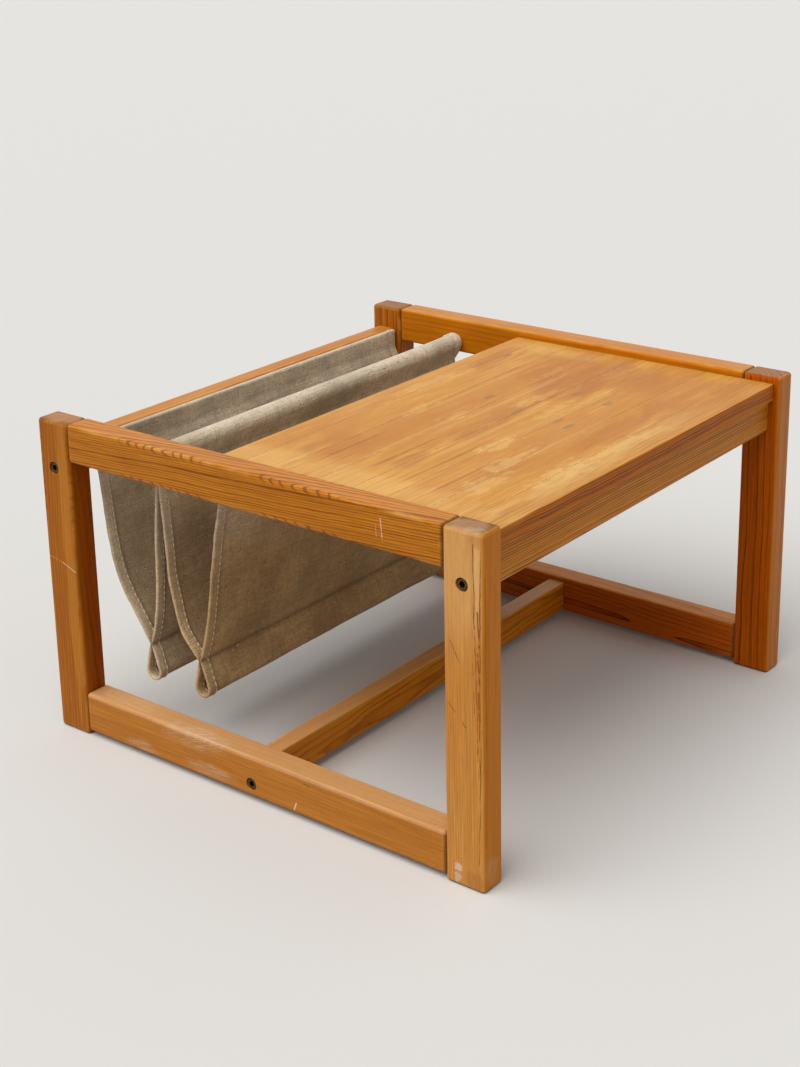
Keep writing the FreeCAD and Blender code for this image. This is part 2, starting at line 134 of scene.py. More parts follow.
class Shade:
    """Lays the nodes of one material and links them to its shader."""

    def __init__(self, name: str) -> None:
        """Starts a material that holds only its shader and output.

        Args:
            name: the material's name.
        """
        self.material = bpy.data.materials.new(name)
        self.material.use_nodes = True
        self.tree = self.material.node_tree
        self.tree.nodes.clear()
        output = self.add("ShaderNodeOutputMaterial")
        self.shader = self.add("ShaderNodeBsdfPrincipled")
        self.tree.links.new(self.shader.outputs["BSDF"], output.inputs["Surface"])

    def add(self, kind: str, **settings: object) -> bpy.types.Node:
        """New node.

        Args:
            kind: type of the node.
            settings: properties to set on it.

        Returns:
            The node.
        """
        node = self.tree.nodes.new(kind)
        for name, value in settings.items():
            setattr(node, name, value)
        return node

    def put(self, socket: bpy.types.NodeSocket, value: Value) -> None:
        """Links a signal to a socket, or sets a plain value on it.

        Args:
            socket: input of a node.
            value: signal, number, vector or colour.
        """
        if isinstance(value, Signal):
            self.tree.links.new(value.socket, socket)
        else:
            socket.default_value = value

    def set(self, **inputs: Value) -> None:
        """Fills inputs of the shader; underscores in the names stand for spaces."""
        for name, value in inputs.items():
            self.put(self.shader.inputs[name.replace("_", " ")], value)

    def math(self, operation: str, *values: Value, clamp: bool = False) -> Signal:
        """One step of arithmetic.

        Args:
            operation: name of the step.
            values: what it takes.
            clamp: whether the result stays between 0 and 1.

        Returns:
            The result.
        """
        node = self.add("ShaderNodeMath", operation=operation, use_clamp=clamp)
        for socket, value in zip(node.inputs, values):
            self.put(socket, value)
        return Signal(self, node.outputs[0])

    def vector(self, operation: str, first: Value, second: Value) -> Signal:
        """One step of vector arithmetic; lengths and products come out as numbers.

        Args:
            operation: name of the step.
            first: vector that it takes.
            second: other vector, or the number that scales the first.

        Returns:
            The result.
        """
        node = self.add("ShaderNodeVectorMath", operation=operation)
        self.put(node.inputs[0], first)
        self.put(node.inputs["Scale"] if operation == "SCALE" else node.inputs[1], second)
        plain = operation in ("LENGTH", "DISTANCE", "DOT_PRODUCT")
        return Signal(self, node.outputs["Value" if plain else "Vector"])

    def point(self) -> Signal:
        """Place on the surface in the frame that all pieces share."""
        return Signal(self, self.add("ShaderNodeTexCoord").outputs["Object"])

    def facing(self) -> list[Signal]:
        """The three parts of the way that the surface faces."""
        return self.split(Signal(self, self.add("ShaderNodeNewGeometry").outputs["Normal"]))

    def split(self, vector: Signal) -> list[Signal]:
        """The three parts of a vector.

        Args:
            vector: the vector.

        Returns:
            Its parts along X, Y and Z.
        """
        node = self.add("ShaderNodeSeparateXYZ")
        self.put(node.inputs[0], vector)
        return [Signal(self, socket) for socket in node.outputs]

    def join(self, *parts: Value) -> Signal:
        """Vector of three parts.

        Args:
            parts: what goes along X, Y and Z.

        Returns:
            The vector.
        """
        node = self.add("ShaderNodeCombineXYZ")
        for socket, part in zip(node.inputs, parts):
            self.put(socket, part)
        return Signal(self, node.outputs[0])

    def noise(self, point: Signal, waves: Triple, seed: float = 0.0, detail: float = 2.0) -> Signal:
        """Soft random number round a half.

        Args:
            point: place.
            waves: waves in a metre along each axis.
            seed: shifts the pattern.
            detail: octaves of finer waves.

        Returns:
            The number.
        """
        scaled = self.vector("MULTIPLY", point, waves)
        moved = self.vector("ADD", scaled, tuple(seed * share for share in NOISE_SHIFT))
        node = self.add("ShaderNodeTexNoise")
        for name, value in (("Vector", moved), ("Scale", 1.0), ("Detail", detail)):
            self.put(node.inputs[name], value)
        return Signal(self, node.outputs["Fac"])

    def warp(self, point: Signal, waves: Triple, reach: Triple, seed: float = 0.0) -> Signal:
        """Place moved at random.

        Args:
            point: place.
            waves: waves in a metre along each axis.
            reach: furthest move along each axis.
            seed: shifts the pattern.

        Returns:
            The moved place.
        """
        scaled = self.vector("MULTIPLY", point, waves)
        shift = tuple(seed * share for share in WARP_SHIFT)
        node = self.add("ShaderNodeTexNoise")
        self.put(node.inputs["Vector"], self.vector("ADD", scaled, shift))
        self.put(node.inputs["Scale"], 1.0)
        centred = self.vector("SUBTRACT", Signal(self, node.outputs["Color"]), (0.5, 0.5, 0.5))
        return self.vector("ADD", point, self.vector("MULTIPLY", centred, tuple(2 * size for size in reach)))

    def oval(self, point: Signal, centre: Triple, reach: Triple) -> Signal:
        """Distance from a centre, counted in reaches."""
        away = self.vector("SUBTRACT", point, centre)
        return self.vector("LENGTH", self.vector("DIVIDE", away, reach), (0.0, 0.0, 0.0))

    def ramp(self, amount: Signal, *stops: Stop) -> Signal:
        """Colour read from a ramp.

        Args:
            amount: place on the ramp, from 0 to 1.
            stops: places on the ramp, each with its colour.

        Returns:
            The colour.
        """
        node = self.add("ShaderNodeValToRGB")
        self.put(node.inputs[0], amount)
        elements = node.color_ramp.elements
        while len(elements) < len(stops):
            elements.new(1.0)
        for element, (place, colour) in zip(elements, stops):
            element.position = place
            element.color = colour
        return Signal(self, node.outputs["Color"])

    def mix(self, amount: Value, first: Value, second: Value, blend: str = "MIX") -> Signal:
        """Mixture of two colours.

        Args:
            amount: share of the second, from 0 to 1.
            first: colour underneath.
            second: colour laid over it.
            blend: how they are joined.

        Returns:
            The mixture.
        """
        node = self.add("ShaderNodeMix", data_type="RGBA", blend_type=blend)
        for index, value in ((0, amount), (6, first), (7, second)):
            self.put(node.inputs[index], value)
        return Signal(self, node.outputs[2])

    def bump(self, height: Signal, distance: float, strength: float = 1.0) -> Signal:
        """Normal bent by a relief.

        Args:
            height: the relief, from 0 to about 1.
            distance: its height in metres.
            strength: how much of it shows.

        Returns:
            The normal.
        """
        node = self.add("ShaderNodeBump")
        for name, value in (("Strength", strength), ("Distance", distance), ("Height", height)):
            self.put(node.inputs[name], value)
        return Signal(self, node.outputs["Normal"])


@dataclass(frozen=True)
class Wave:
    """A random field: its waves in a metre, and the seed that keeps it apart from other fields."""

    waves: Triple
    seed: float
    detail: float = 2.0

    def over(self, shade: Shade, point: Signal, seed: float = 0.0) -> Signal:
        """The field at a place, shifted by a piece's own seed."""
        return shade.noise(point, self.waves, seed + self.seed, self.detail)


@dataclass
class Surface:
    """What a finish has laid so far, for the marks that go over it."""

    shade: Shade
    point: Signal
    colour: Signal
    rough: Signal
    seed: float = 3.7
    fields: dict[tuple[float, ...], Signal] = field(default_factory=dict)

    def random(self, waves: Triple, detail: float) -> Signal:
        """Random field that marks with the same waves share.

        Args:
            waves: waves in a metre along each axis.
            detail: octaves of finer waves.

        Returns:
            The field.
        """
        key = (*waves, detail)
        if key not in self.fields:
            self.fields[key] = self.shade.noise(self.point, waves, self.seed, detail)
        return self.fields[key]

    def tint(self, mask: Signal, tone: str, dullness: float = 0.0) -> None:
        """Mixes a tone in where the mask says so, and roughens the surface there.

        Args:
            mask: how much of the tone shows, from 0 to 1.
            tone: the tone.
            dullness: how much rougher the surface gets.
        """
        self.colour = self.shade.mix(mask, self.colour, paint(tone))
        if dullness:
            self.rough = self.rough + mask * dullness


@dataclass(frozen=True)
class Scratch:
    """A thin line scored or rubbed into a surface."""

    start: Triple
    end: Triple
    width: float
    tone: str
    strength: float = 0.8
    wobble: Triple = (0.0, 0.0, 0.0)
    gaps: float = 1.0
    wobble_waves: Triple = (38.0, 38.0, 38.0)
    wobble_seeds: float = 53.0
    skip_waves: Triple = (160.0, 160.0, 160.0)
    skip_detail: float = 1.0
    skip_span: Span = (0.32, 0.52)
    core_share: float = 0.3
    dullness: float = 0.1

    def lay(self, surface: Surface) -> None:
        """Tints the surface along the line, with gaps where it skips.

        Args:
            surface: what the finish has laid so far.
        """
        shade = surface.shade
        way = Vector(self.end) - Vector(self.start)
        place = surface.point
        if any(self.wobble):
            place = shade.warp(place, self.wobble_waves, self.wobble, self.start[2] * self.wobble_seeds)
        reach = shade.vector("SUBTRACT", place, self.start)
        share = shade.vector("DOT_PRODUCT", reach, tuple(way / way.length_squared))
        held = shade.math("ADD", share, 0.0, clamp=True)
        foot = shade.vector("SCALE", tuple(way), held)
        away = shade.vector("DISTANCE", reach, foot)
        broken = surface.random(self.skip_waves, self.skip_detail).step(*self.skip_span)
        skips = broken * self.gaps + (1.0 - self.gaps)
        line = away.step(self.width, self.width * self.core_share)
        surface.tint(line * skips * self.strength, self.tone, self.dullness)


@dataclass(frozen=True)
class Patch:
    """A ragged spot of another tone: a stain, a worn place or a scuff."""

    centre: Triple
    reach: Triple
    tone: str
    strength: float = 0.6
    ragged: float = 0.9
    soft: float = 0.5
    waves: Triple = (90.0, 14.0, 90.0)
    edge_detail: float = 5.0
    mottle_finer: float = 3.2
    mottle_detail: float = 3.0
    even_share: float = 0.4

    def lay(self, surface: Surface) -> None:
        """Tints the surface inside a ragged oval.

        Args:
            surface: what the finish has laid so far.
        """
        shade = surface.shade
        length = shade.oval(surface.point, self.centre, self.reach)
        edge = surface.random(self.waves, self.edge_detail)
        finer = tuple(self.mottle_finer * wave for wave in self.waves)
        mottle = surface.random(finer, self.mottle_detail)
        rim = 1.0 + self.ragged
        near = (length + edge * (2 * self.ragged)).step(rim + self.soft / 2, rim - self.soft / 2)
        mask = near * (mottle * self.strength + self.strength * self.even_share)
        surface.tint(mask, self.tone)


@dataclass(frozen=True)
class Scuff:
    """A rubbed place made of many fine scratches that run one way."""

    centre: Triple
    reach: Triple
    way: Triple
    across: Triple
    tone: str
    strength: float = 0.6
    pitch: float = 0.0013
    length: float = 0.030
    seeds: float = 40.0
    line_detail: float = 2.0
    line_span: Span = (0.46, 0.72)
    line_share: float = 0.72
    haze_share: float = 0.16
    edge_waves: Triple = (60.0, 60.0, 60.0)
    edge_detail: float = 3.0
    edge_reach: float = 1.2
    edge_span: Span = (1.25, 0.45)
    dullness: float = 0.15

    def lay(self, surface: Surface) -> None:
        """Tints the surface along broken lines inside a ragged oval.

        Args:
            surface: what the finish has laid so far.
        """
        shade = surface.shade
        along = shade.vector("DOT_PRODUCT", surface.point, self.way)
        over = shade.vector("DOT_PRODUCT", surface.point, self.across)
        waves = (1 / self.length, 1 / self.pitch, 0.0)
        seed = self.centre[0] * self.seeds
        lines = shade.noise(shade.join(along, over, 0.0), waves, seed, self.line_detail)
        edge = surface.random(self.edge_waves, self.edge_detail)
        place = shade.oval(surface.point, self.centre, self.reach) + (edge - 0.5) * self.edge_reach
        rubbed = lines.step(*self.line_span) * self.line_share + self.haze_share
        surface.tint(place.step(*self.edge_span) * rubbed * self.strength, self.tone, self.dullness)


@dataclass(frozen=True)
class PaintedFaceShade:
    """Painted shade: a deeper tone on the faces that look one way, which keeps their grain."""

    axis: int
    sign: float
    tone: str
    turn: Span = (0.5, 0.9)

    def lay(self, surface: Surface) -> None:
        """Paints shade over those faces.

        Args:
            surface: what the finish has laid so far.
        """
        shade = surface.shade
        mask = (shade.facing()[self.axis] * self.sign).step(*self.turn)
        surface.colour = shade.mix(mask, surface.colour, paint(self.tone), "MULTIPLY")


Mark = Union[Scratch, Patch, Scuff, PaintedFaceShade]


class Along(Enum):
    """Way that the grain runs: the long axis, then the two across it."""

    X = (0, 1, 2)
    Y = (1, 0, 2)
    Z = (2, 0, 1)


@dataclass(frozen=True)
class Pine:
    """Lacquered pine, sawn beside the pith of a trunk, with its rings, fibres and worn edges."""

    along: Along
    pale: str = "CC8630"
    dark: str = "84420A"
    amber: str = "B86A1C"
    end_tone: str = "A06E46"
    worn_tone: str = "DFA65C"
    joint_tone: str = "4A2508"
    sheen_tone: str = "FFE2B4"
    ring: float = 0.0028
    pith: Span = (0.030, 0.060)
    lean: Span = (0.0, 0.0)
    wander: float = 0.0030
    late_start: float = 0.40
    contrast: float = 0.62
    blotch: float = 0.45
    figure: float = 0.6
    flecks: float = 0.0
    fleck_spans: tuple[Span, ...] = ()
    fleck_tone: str = "7E3A1E"
    # Share of the ring contrast kept on upward faces; below 1 it pales the tops as a painted sheen
    top_sheen_fade: float = 1.0
    wear: float = 0.5
    roughness: float = 0.40
    seed: float = 0.0

    # Random fields, each with its own seed beside the piece's
    across_wave: Wave = Wave((6.0, 14.0, 14.0), 0.0)
    over_wave: Wave = Wave((6.0, 14.0, 14.0), 11.0)
    jitter_wave: Wave = Wave((25.0, 220.0, 220.0), 7.0)
    season_wave: Wave = Wave((150.0, 0.0, 0.0), 19.0)
    fibre_wave: Wave = Wave((14.0, 900.0, 900.0), 5.0)
    pore_wave: Wave = Wave((55.0, 1500.0, 1500.0), 9.0, 1.0)
    blotch_wave: Wave = Wave((5.0, 26.0, 26.0), 2.0, 3.0)
    figure_wave: Wave = Wave((20.0, 300.0, 300.0), 15.0, 5.0)
    relief_wave: Wave = Wave((40.0, 120.0, 120.0), 3.0)
    end_wave: Wave = Wave((70.0, 70.0, 70.0), 21.0, 3.0)
    rub_wave: Wave = Wave((30.0, 90.0, 90.0), 13.0, 3.0)
    drift_wave: Wave = Wave((18.0, 60.0, 60.0), 17.0)

    # Rings: uneven turns, and late wood that darkens from its start to the end of the year
    jitter: float = 0.45
    seasons: float = 2.2
    early_level: float = 0.02
    late_rise: tuple[Span, ...] = ((0.0, 0.08), (0.47, 0.55), (0.70, 1.0))
    late_end: Span = (0.95, 0.90)
    ring_floor: float = 0.45
    ring_spread: float = 0.55

    # Fibres, pores and figure between the rings
    pore_span: Span = (0.64, 0.74)
    pore_share: float = 0.38
    blotch_span: Span = (0.35, 0.75)
    streak_stops: tuple[Stop, ...] = ((0.25, (0.80, 0.76, 0.70, 1.0)), (0.75, (1.12, 1.12, 1.12, 1.0)))
    streak_share: float = 0.80
    shimmer_stops: tuple[Stop, ...] = ((0.30, (0.84, 0.81, 0.76, 1.0)), (0.70, (1.12, 1.12, 1.10, 1.0)))
    turn: Span = (0.5, 0.9)

    # Lacquer and relief
    gloss: float = 0.16
    fibre_dullness: float = 0.16
    blotch_dullness: float = 0.05
    late_height: float = 0.5
    fibre_height: float = 0.35
    relief_height: float = 0.5
    relief: float = 0.00022
    relief_strength: float = 0.55

    # End grain
    end_turn: Span = (0.55, 0.9)
    end_floor: float = 0.45
    end_spread: float = 0.6
    end_dullness: float = 0.12
    end_rings: float = 0.35

    # Rubbed edges, joints and flecks of resin
    rub_span: Span = (0.38, 0.68)
    rub_reach: Span = (0.0055, 0.0012)
    rub_dullness: float = 0.06
    joint_reach: Span = (0.0035, 0.0008)
    joint_share: float = 0.55
    joint_dullness: float = 0.1
    fleck_beat: float = 76.0
    fleck_slant: float = 95.0
    fleck_drift: float = 2.6
    flame_rise: Span = (0.55, 0.78)
    flame_fall: Span = (1.0, 0.86)
    fleck_end: float = 0.012
    fleck_reach: Span = (0.0070, 0.0030)
    fleck_dullness: float = 0.05

    def material(self, name: str, low: Vector, high: Vector,
                 marks: Iterable[Mark] = ()) -> bpy.types.Material:
        """Builds the finish of one piece.

        Args:
            name: the material's name.
            low: lowest corner of the piece.
            high: highest corner of the piece.
            marks: scratches and patches on it.

        Returns:
            The material.
        """
        shade = Shade(name)
        point = shade.point()
        middle, half = (low + high) / 2, (high - low) / 2
        parts = shade.split(shade.vector("SUBTRACT", point, tuple(middle)))
        axes = [parts[index] for index in self.along.value]
        grain = shade.join(*axes)

        late, ring_tone = self.rings(shade, grain, *axes)
        fibre = self.fibre_wave.over(shade, grain, self.seed)
        pores = self.pore_wave.over(shade, grain, self.seed).step(*self.pore_span)
        blotch = self.blotch_wave.over(shade, grain, self.seed).step(*self.blotch_span)
        colour = shade.mix(blotch * self.blotch, paint(self.pale), paint(self.amber))
        shown = late * ring_tone * self.contrast
        # Painted sheen: upward faces keep less of the ring contrast and show paler
        if self.top_sheen_fade < 1.0:
            upward = shade.facing()[2].step(*self.turn)
            shown = shown * (1.0 - upward * (1.0 - self.top_sheen_fade))
        colour = shade.mix(shown, colour, paint(self.dark))
        colour = shade.mix(self.streak_share, colour, shade.ramp(fibre, *self.streak_stops), "MULTIPLY")
        shimmer = shade.ramp(self.figure_wave.over(shade, grain, self.seed), *self.shimmer_stops)
        colour = shade.mix(self.figure, colour, shimmer, "MULTIPLY")
        colour = shade.mix(pores * self.pore_share, colour, paint(self.dark))
        rough = self.roughness + (fibre - 0.5) * self.fibre_dullness + blotch * self.blotch_dullness

        surface = Surface(shade, point, colour, rough)
        self.ends(surface, late)
        self.edges(surface, parts, half, grain)
        for mark in marks:
            mark.lay(surface)
        relief = self.relief_wave.over(shade, grain, self.seed)
        height = late * self.late_height + fibre * self.fibre_height + relief * self.relief_height
        shade.set(Base_Color=surface.colour, Roughness=surface.rough,
                  Normal=shade.bump(height, self.relief, self.relief_strength))
        shade.set(Specular_IOR_Level=self.gloss, Specular_Tint=paint(self.sheen_tone))
        return shade.material

    def rings(self, shade: Shade, grain: Signal, along: Signal, across: Signal,
              over: Signal) -> tuple[Signal, Signal]:
        """Growth rings round a wandering, leaning pith.

        Args:
            shade: the material under way.
            grain: place along and across the grain.
            along: place along the piece.
            across: place across it.
            over: place across it the other way.

        Returns:
            Late wood from 0 to 1, and how dark each ring is.
        """
        sway_across = self.across_wave.over(shade, grain, self.seed) - 0.5
        sway_over = self.over_wave.over(shade, grain, self.seed) - 0.5
        from_pith = across + self.pith[0] + along * self.lean[0] + sway_across * (2 * self.wander)
        over_pith = over + self.pith[1] + along * self.lean[1] + sway_over * (2 * self.wander)
        radius = shade.math("SQRT", from_pith * from_pith + over_pith * over_pith)
        jitter = self.jitter_wave.over(shade, grain, self.seed) - 0.5
        seasons = self.season_wave.over(shade, shade.join(radius, 0.0, 0.0), self.seed) - 0.5
        turns = radius / self.ring + jitter * self.jitter + seasons * self.seasons
        start, rest = self.late_start, 1.0 - self.late_start
        rise = [(start + share * rest, level) for share, level in self.late_rise]
        year = [(0.0, self.early_level), *rise, self.late_end, (1.0, self.early_level)]
        late = shade.ramp(shade.math("FRACT", turns), *((place, (level,) * 4) for place, level in year))
        count = shade.math("FLOOR", turns)
        node = shade.add("ShaderNodeTexWhiteNoise", noise_dimensions="1D")
        shade.put(node.inputs["W"], count + self.seed)
        tone = Signal(shade, node.outputs["Value"]) * self.ring_spread + self.ring_floor
        # The product turns the ramp's colour into a number
        return late * 1.0, tone

    def ends(self, surface: Surface, late: Signal) -> None:
        """Duller end grain where the surface faces along the piece.

        Args:
            surface: what the finish has laid so far.
            late: late wood from 0 to 1.
        """
        shade = surface.shade
        end = shade.math("ABSOLUTE", shade.facing()[self.along.value[0]]).step(*self.end_turn)
        patchy = self.end_wave.over(shade, surface.point, self.seed)
        surface.tint(end * (patchy * self.end_spread + self.end_floor), self.end_tone, self.end_dullness)
        surface.tint(end * late * self.end_rings, self.dark)

    def edges(self, surface: Surface, parts: Sequence[Signal], half: Vector, grain: Signal) -> None:
        """Rubbed edges, dark lines where pieces meet, and resin flecks along the arrises.

        Args:
            surface: what the finish has laid so far.
            parts: place from the middle of the piece along X, Y and Z.
            half: half the piece's size.
            grain: place along and across the grain.
        """
        shade = surface.shade
        depths = [size - shade.math("ABSOLUTE", part) for part, size in zip(parts, half)]
        largest = shade.math("MAXIMUM", shade.math("MAXIMUM", depths[0], depths[1]), depths[2])
        least = shade.math("MINIMUM", shade.math("MINIMUM", depths[0], depths[1]), depths[2])
        edge = depths[0] + depths[1] + depths[2] - largest - least
        rub = self.rub_wave.over(shade, grain, self.seed).step(*self.rub_span)
        surface.tint(edge.step(*self.rub_reach) * rub * self.wear, self.worn_tone, self.rub_dullness)
        end_gap = depths[self.along.value[0]]
        surface.tint(end_gap.step(*self.joint_reach) * self.joint_share, self.joint_tone, self.joint_dullness)
        if self.flecks:
            self.resin(surface, edge, grain)

    def resin(self, surface: Surface, edge: Signal, grain: Signal) -> None:
        """Flecks of resin along the arrises, in the spans that have them.

        Args:
            surface: what the finish has laid so far.
            edge: depth under the nearest arris.
            grain: place along and across the grain.
        """
        shade = surface.shade
        along, across, over = shade.split(grain)
        drift = self.drift_wave.over(shade, grain, self.seed)
        slant = (over - across) * self.fleck_slant
        beat = shade.math("FRACT", along * self.fleck_beat + slant + drift * self.fleck_drift)
        flame = beat.step(*self.flame_rise) * beat.step(*self.flame_fall)
        shown: Value = 0.0
        for start, end in self.fleck_spans:
            begun = along.step(start - self.fleck_end, start + self.fleck_end)
            ended = along.step(end + self.fleck_end, end - self.fleck_end)
            shown = shown + begun * ended
        mask = edge.step(*self.fleck_reach) * flame * shown * self.flecks
        surface.tint(mask, self.fleck_tone, self.fleck_dullness)


def dress(node: str, material: bpy.types.Material) -> None:
    """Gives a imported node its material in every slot.

    Args:
        node: the node's name.
        material: its finish.
    """
    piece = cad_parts[node]
    for slot in piece.material_slots:
        slot.material = material
    if not piece.material_slots:
        piece.data.materials.append(material)
    log.info("dressed %s", node)


def dress_pine(node: str, pine: Pine, marks: Iterable[Mark] = ()) -> None:
    """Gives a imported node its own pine."""
    low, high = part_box(node)
    dress(node, pine.material(f"pine_{node}", Vector(low), Vector(high), marks))


@dataclass(frozen=True)
class Metal:
    """Aged metal with soft blotches."""

    tone: str
    spot_tone: str
    roughness: float
    metallic: float = 1.0
    spot_wave: Wave = Wave((700.0, 700.0, 700.0), 3.0, 3.0)
    spot_span: Span = (0.35, 0.7)
    spot_dullness: float = 0.3
    turning_wave: Wave = Wave((2600.0, 300.0, 2600.0), 8.0)
    relief: float = 0.00004
    relief_strength: float = 0.5

    def material(self, name: str) -> bpy.types.Material:
        """Builds the finish.

        Args:
            name: the material's name.

        Returns:
            The material.
        """
        shade = Shade(name)
        point = shade.point()
        spots = self.spot_wave.over(shade, point)
        turning = self.turning_wave.over(shade, point)
        colour = shade.mix(spots.step(*self.spot_span), paint(self.tone), paint(self.spot_tone))
        shade.set(Base_Color=colour, Roughness=self.roughness + (spots - 0.5) * self.spot_dullness,
                  Metallic=self.metallic, Normal=shade.bump(turning, self.relief, self.relief_strength))
        return shade.material


@dataclass
class EndFrames:
    """Legs and rails of both end frames."""

    leg: Pine = Pine(Along.Z, ring=0.0031)
    rail: Pine = Pine(Along.X, ring=0.0029)
    sway: Triple = (0.0018, 0.0018, 0.0013)
    upright: Triple = (90.0, 90.0, 22.0)
    spattered: Triple = (260.0, 260.0, 260.0)
    long_grain: Triple = (150.0, 150.0, 12.0)
    soft_grain: Triple = (20.0, 60.0, 12.0)

    def dress(self) -> None:
        """Gives every leg and rail its own wood and marks."""
        self.dress_legs()
        self.dress_rails()

    def dress_legs(self) -> None:
        """Legs, each from its own board."""
        dress_pine("leg_top_near", replace(
            self.leg, pale="DC9A4B", dark="A0581E", amber="CE8338", contrast=0.40, pith=(-0.075, 0.020),
            lean=(0.012, 0.0), seed=3.1), self.near_top_leg_marks())
        dress_pine("leg_rack_near", replace(
            self.leg, pale="B86C1A", dark="783806", amber="A65A0E", contrast=0.62, end_tone="BC8450",
            pith=(0.060, -0.030), lean=(-0.02, 0.01), flecks=0.5, fleck_spans=((0.060, 0.168),),
            fleck_tone="70380A", seed=8.4), self.near_rack_leg_marks())
        dress_pine("leg_top_far", replace(
            self.leg, pale="EA9634", dark="7C380A", amber="D67E20", contrast=0.80, end_tone="DAA27A",
            late_start=0.48, ring=0.0076, pith=(0.024, 0.034), lean=(0.016, -0.012), wander=0.0040,
            seed=14.2), self.far_top_leg_marks())
        dress_pine("leg_rack_far", replace(
            self.leg, pale="BC6E12", dark="7A3606", amber="A85A06", contrast=0.85, end_tone="E0AC80",
            ring=0.0045, pith=(0.012, 0.045), lean=(0.02, 0.0), seed=20.7))

    def near_top_leg_marks(self) -> list[Mark]:
        """Nicks, resin streaks along the arris, paint spots, painted shade on the outer side and rubbed ends
        of the near leg under the top.

        Returns:
            The marks, in the order that they lie over each other.
        """
        low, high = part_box("leg_top_near")
        left, right, front, top = low.x, high.x, low.y, high.z

        def line(start: Span, end: Span, width: float, tone: str, strength: float,
                 gaps: float = 1.0) -> Scratch:
            """Wavering line on the front, from a place and level to another."""
            ends = ((start[0], front, start[1]), (end[0], front, end[1]))
            return Scratch(*ends, width, tone, strength, self.sway, gaps)

        def patch(x: float, level: float, reach: Triple, tone: str, strength: float, ragged: float,
                  soft: float) -> Patch:
            """Patch on the front, drawn out up the leg, with its reach in millimetres."""
            return Patch((x, front, level), mm(*reach), tone, strength, ragged, soft, self.upright)

        def paint_spot(x: float, level: float, reach: Triple, tone: str, strength: float,
                       ragged: float, soft: float = 0.4) -> Patch:
            """Spot of old paint on the front, with its reach in millimetres."""
            return Patch((x, front, level), mm(*reach), tone, strength, ragged, soft, self.spattered)

        return [
            line((left + 0.008, 0.252), (left + 0.019, 0.231), 0.0008, "5A300C", 0.8),
            line((left + 0.005, 0.188), (left + 0.026, 0.168), 0.0007, "6A3A12", 0.7),
            Scratch((right, front + 0.002, 0.070), (right, front + 0.026, 0.083), 0.0008, "E0B070", 0.6),
            patch(left + 0.018, 0.318, (26.0, 5.0, 66.0), "F2C07C", 0.48, 0.5, 1.4),
            patch(right - 0.0070, 0.315, (3.6, 5.0, 44.0), "F0C688", 0.42, 0.5, 0.9),
            line((right - 0.0115, 0.350), (right - 0.0095, 0.270), 0.0010, "6A3410", 0.80, 0.2),
            line((right - 0.0030, 0.346), (right - 0.0035, 0.272), 0.0010, "5E2C0A", 0.75, 0.2),
            line((right - 0.0095, 0.272), (right - 0.0060, 0.120), 0.0009, "5A2A0C", 0.70, 0.5),
            line((right - 0.0035, 0.272), (right - 0.0045, 0.160), 0.0010, "5E2C0A", 0.70, 0.3),
            line((right - 0.0125, 0.268), (right - 0.0105, 0.185), 0.0006, "6A3A12", 0.55, 0.6),
            line((right - 0.0068, 0.286), (right - 0.0046, 0.254), 0.0015, "6E300A", 0.75),
            line((right - 0.0040, 0.270), (right - 0.0050, 0.252), 0.0012, "6E300A", 0.70),
            line((right - 0.0062, 0.246), (right - 0.0040, 0.214), 0.0015, "74360C", 0.70),
            line((right - 0.0064, 0.208), (right - 0.0046, 0.180), 0.0014, "743A12", 0.65),
            line((right - 0.0058, 0.150), (right - 0.0040, 0.126), 0.0012, "7A3E14", 0.60),
            line((right - 0.0030, 0.170), (right - 0.0055, 0.030), 0.0008, "6A3A14", 0.65, 0.4),
            Scratch((right, front + 0.0030, 0.320), (right, front + 0.0045, 0.150), 0.0010, "522608", 0.65,
                    self.sway, 0.3),
            patch(right - 0.004, 0.225, (6.0, 5.0, 60.0), "B8641E", 0.30, 0.8, 0.6),
            patch(right - 0.010, 0.010, (12.0, 6.0, 12.0), "A8683A", 0.45, 0.9, 0.6),
            patch(right - 0.008, 0.354, (9.0, 5.0, 6.0), "B4702E", 0.40, 0.9, 0.9),
            Patch((right, front + 0.024, 0.180), mm(3.0, 70.0, 400.0), "DC9A4B", 0.50, 0.3, 0.5,
                  self.upright),
            paint_spot(left + 0.0145, 0.0200, (4.6, 6.0, 4.2), "EBDCC4", 0.66, 0.8),
            paint_spot(left + 0.0140, 0.0090, (3.8, 6.0, 6.2), "E2CFB2", 0.60, 0.9),
            # Painted shade on the outer side face
            PaintedFaceShade(0, 1.0, "FADA70"),
            Scuff((right, front + 0.012, 0.020), mm(6.0, 12.0, 16.0), (0.0, 0.3, 1.0), (0.0, 1.0, -0.3),
                  "E2C79C", 0.55),
            Patch((left + 0.020, front + 0.012, top), mm(20.0, 12.0, 6.0), "C0946C", 0.55, 1.0, 0.6),
            Scuff((right - 0.012, front + 0.006, top), mm(12.0, 8.0, 6.0), (1.0, 0.4, 0.0), (-0.4, 1.0, 0.0),
                  "E6CBA6", 0.6),
        ]

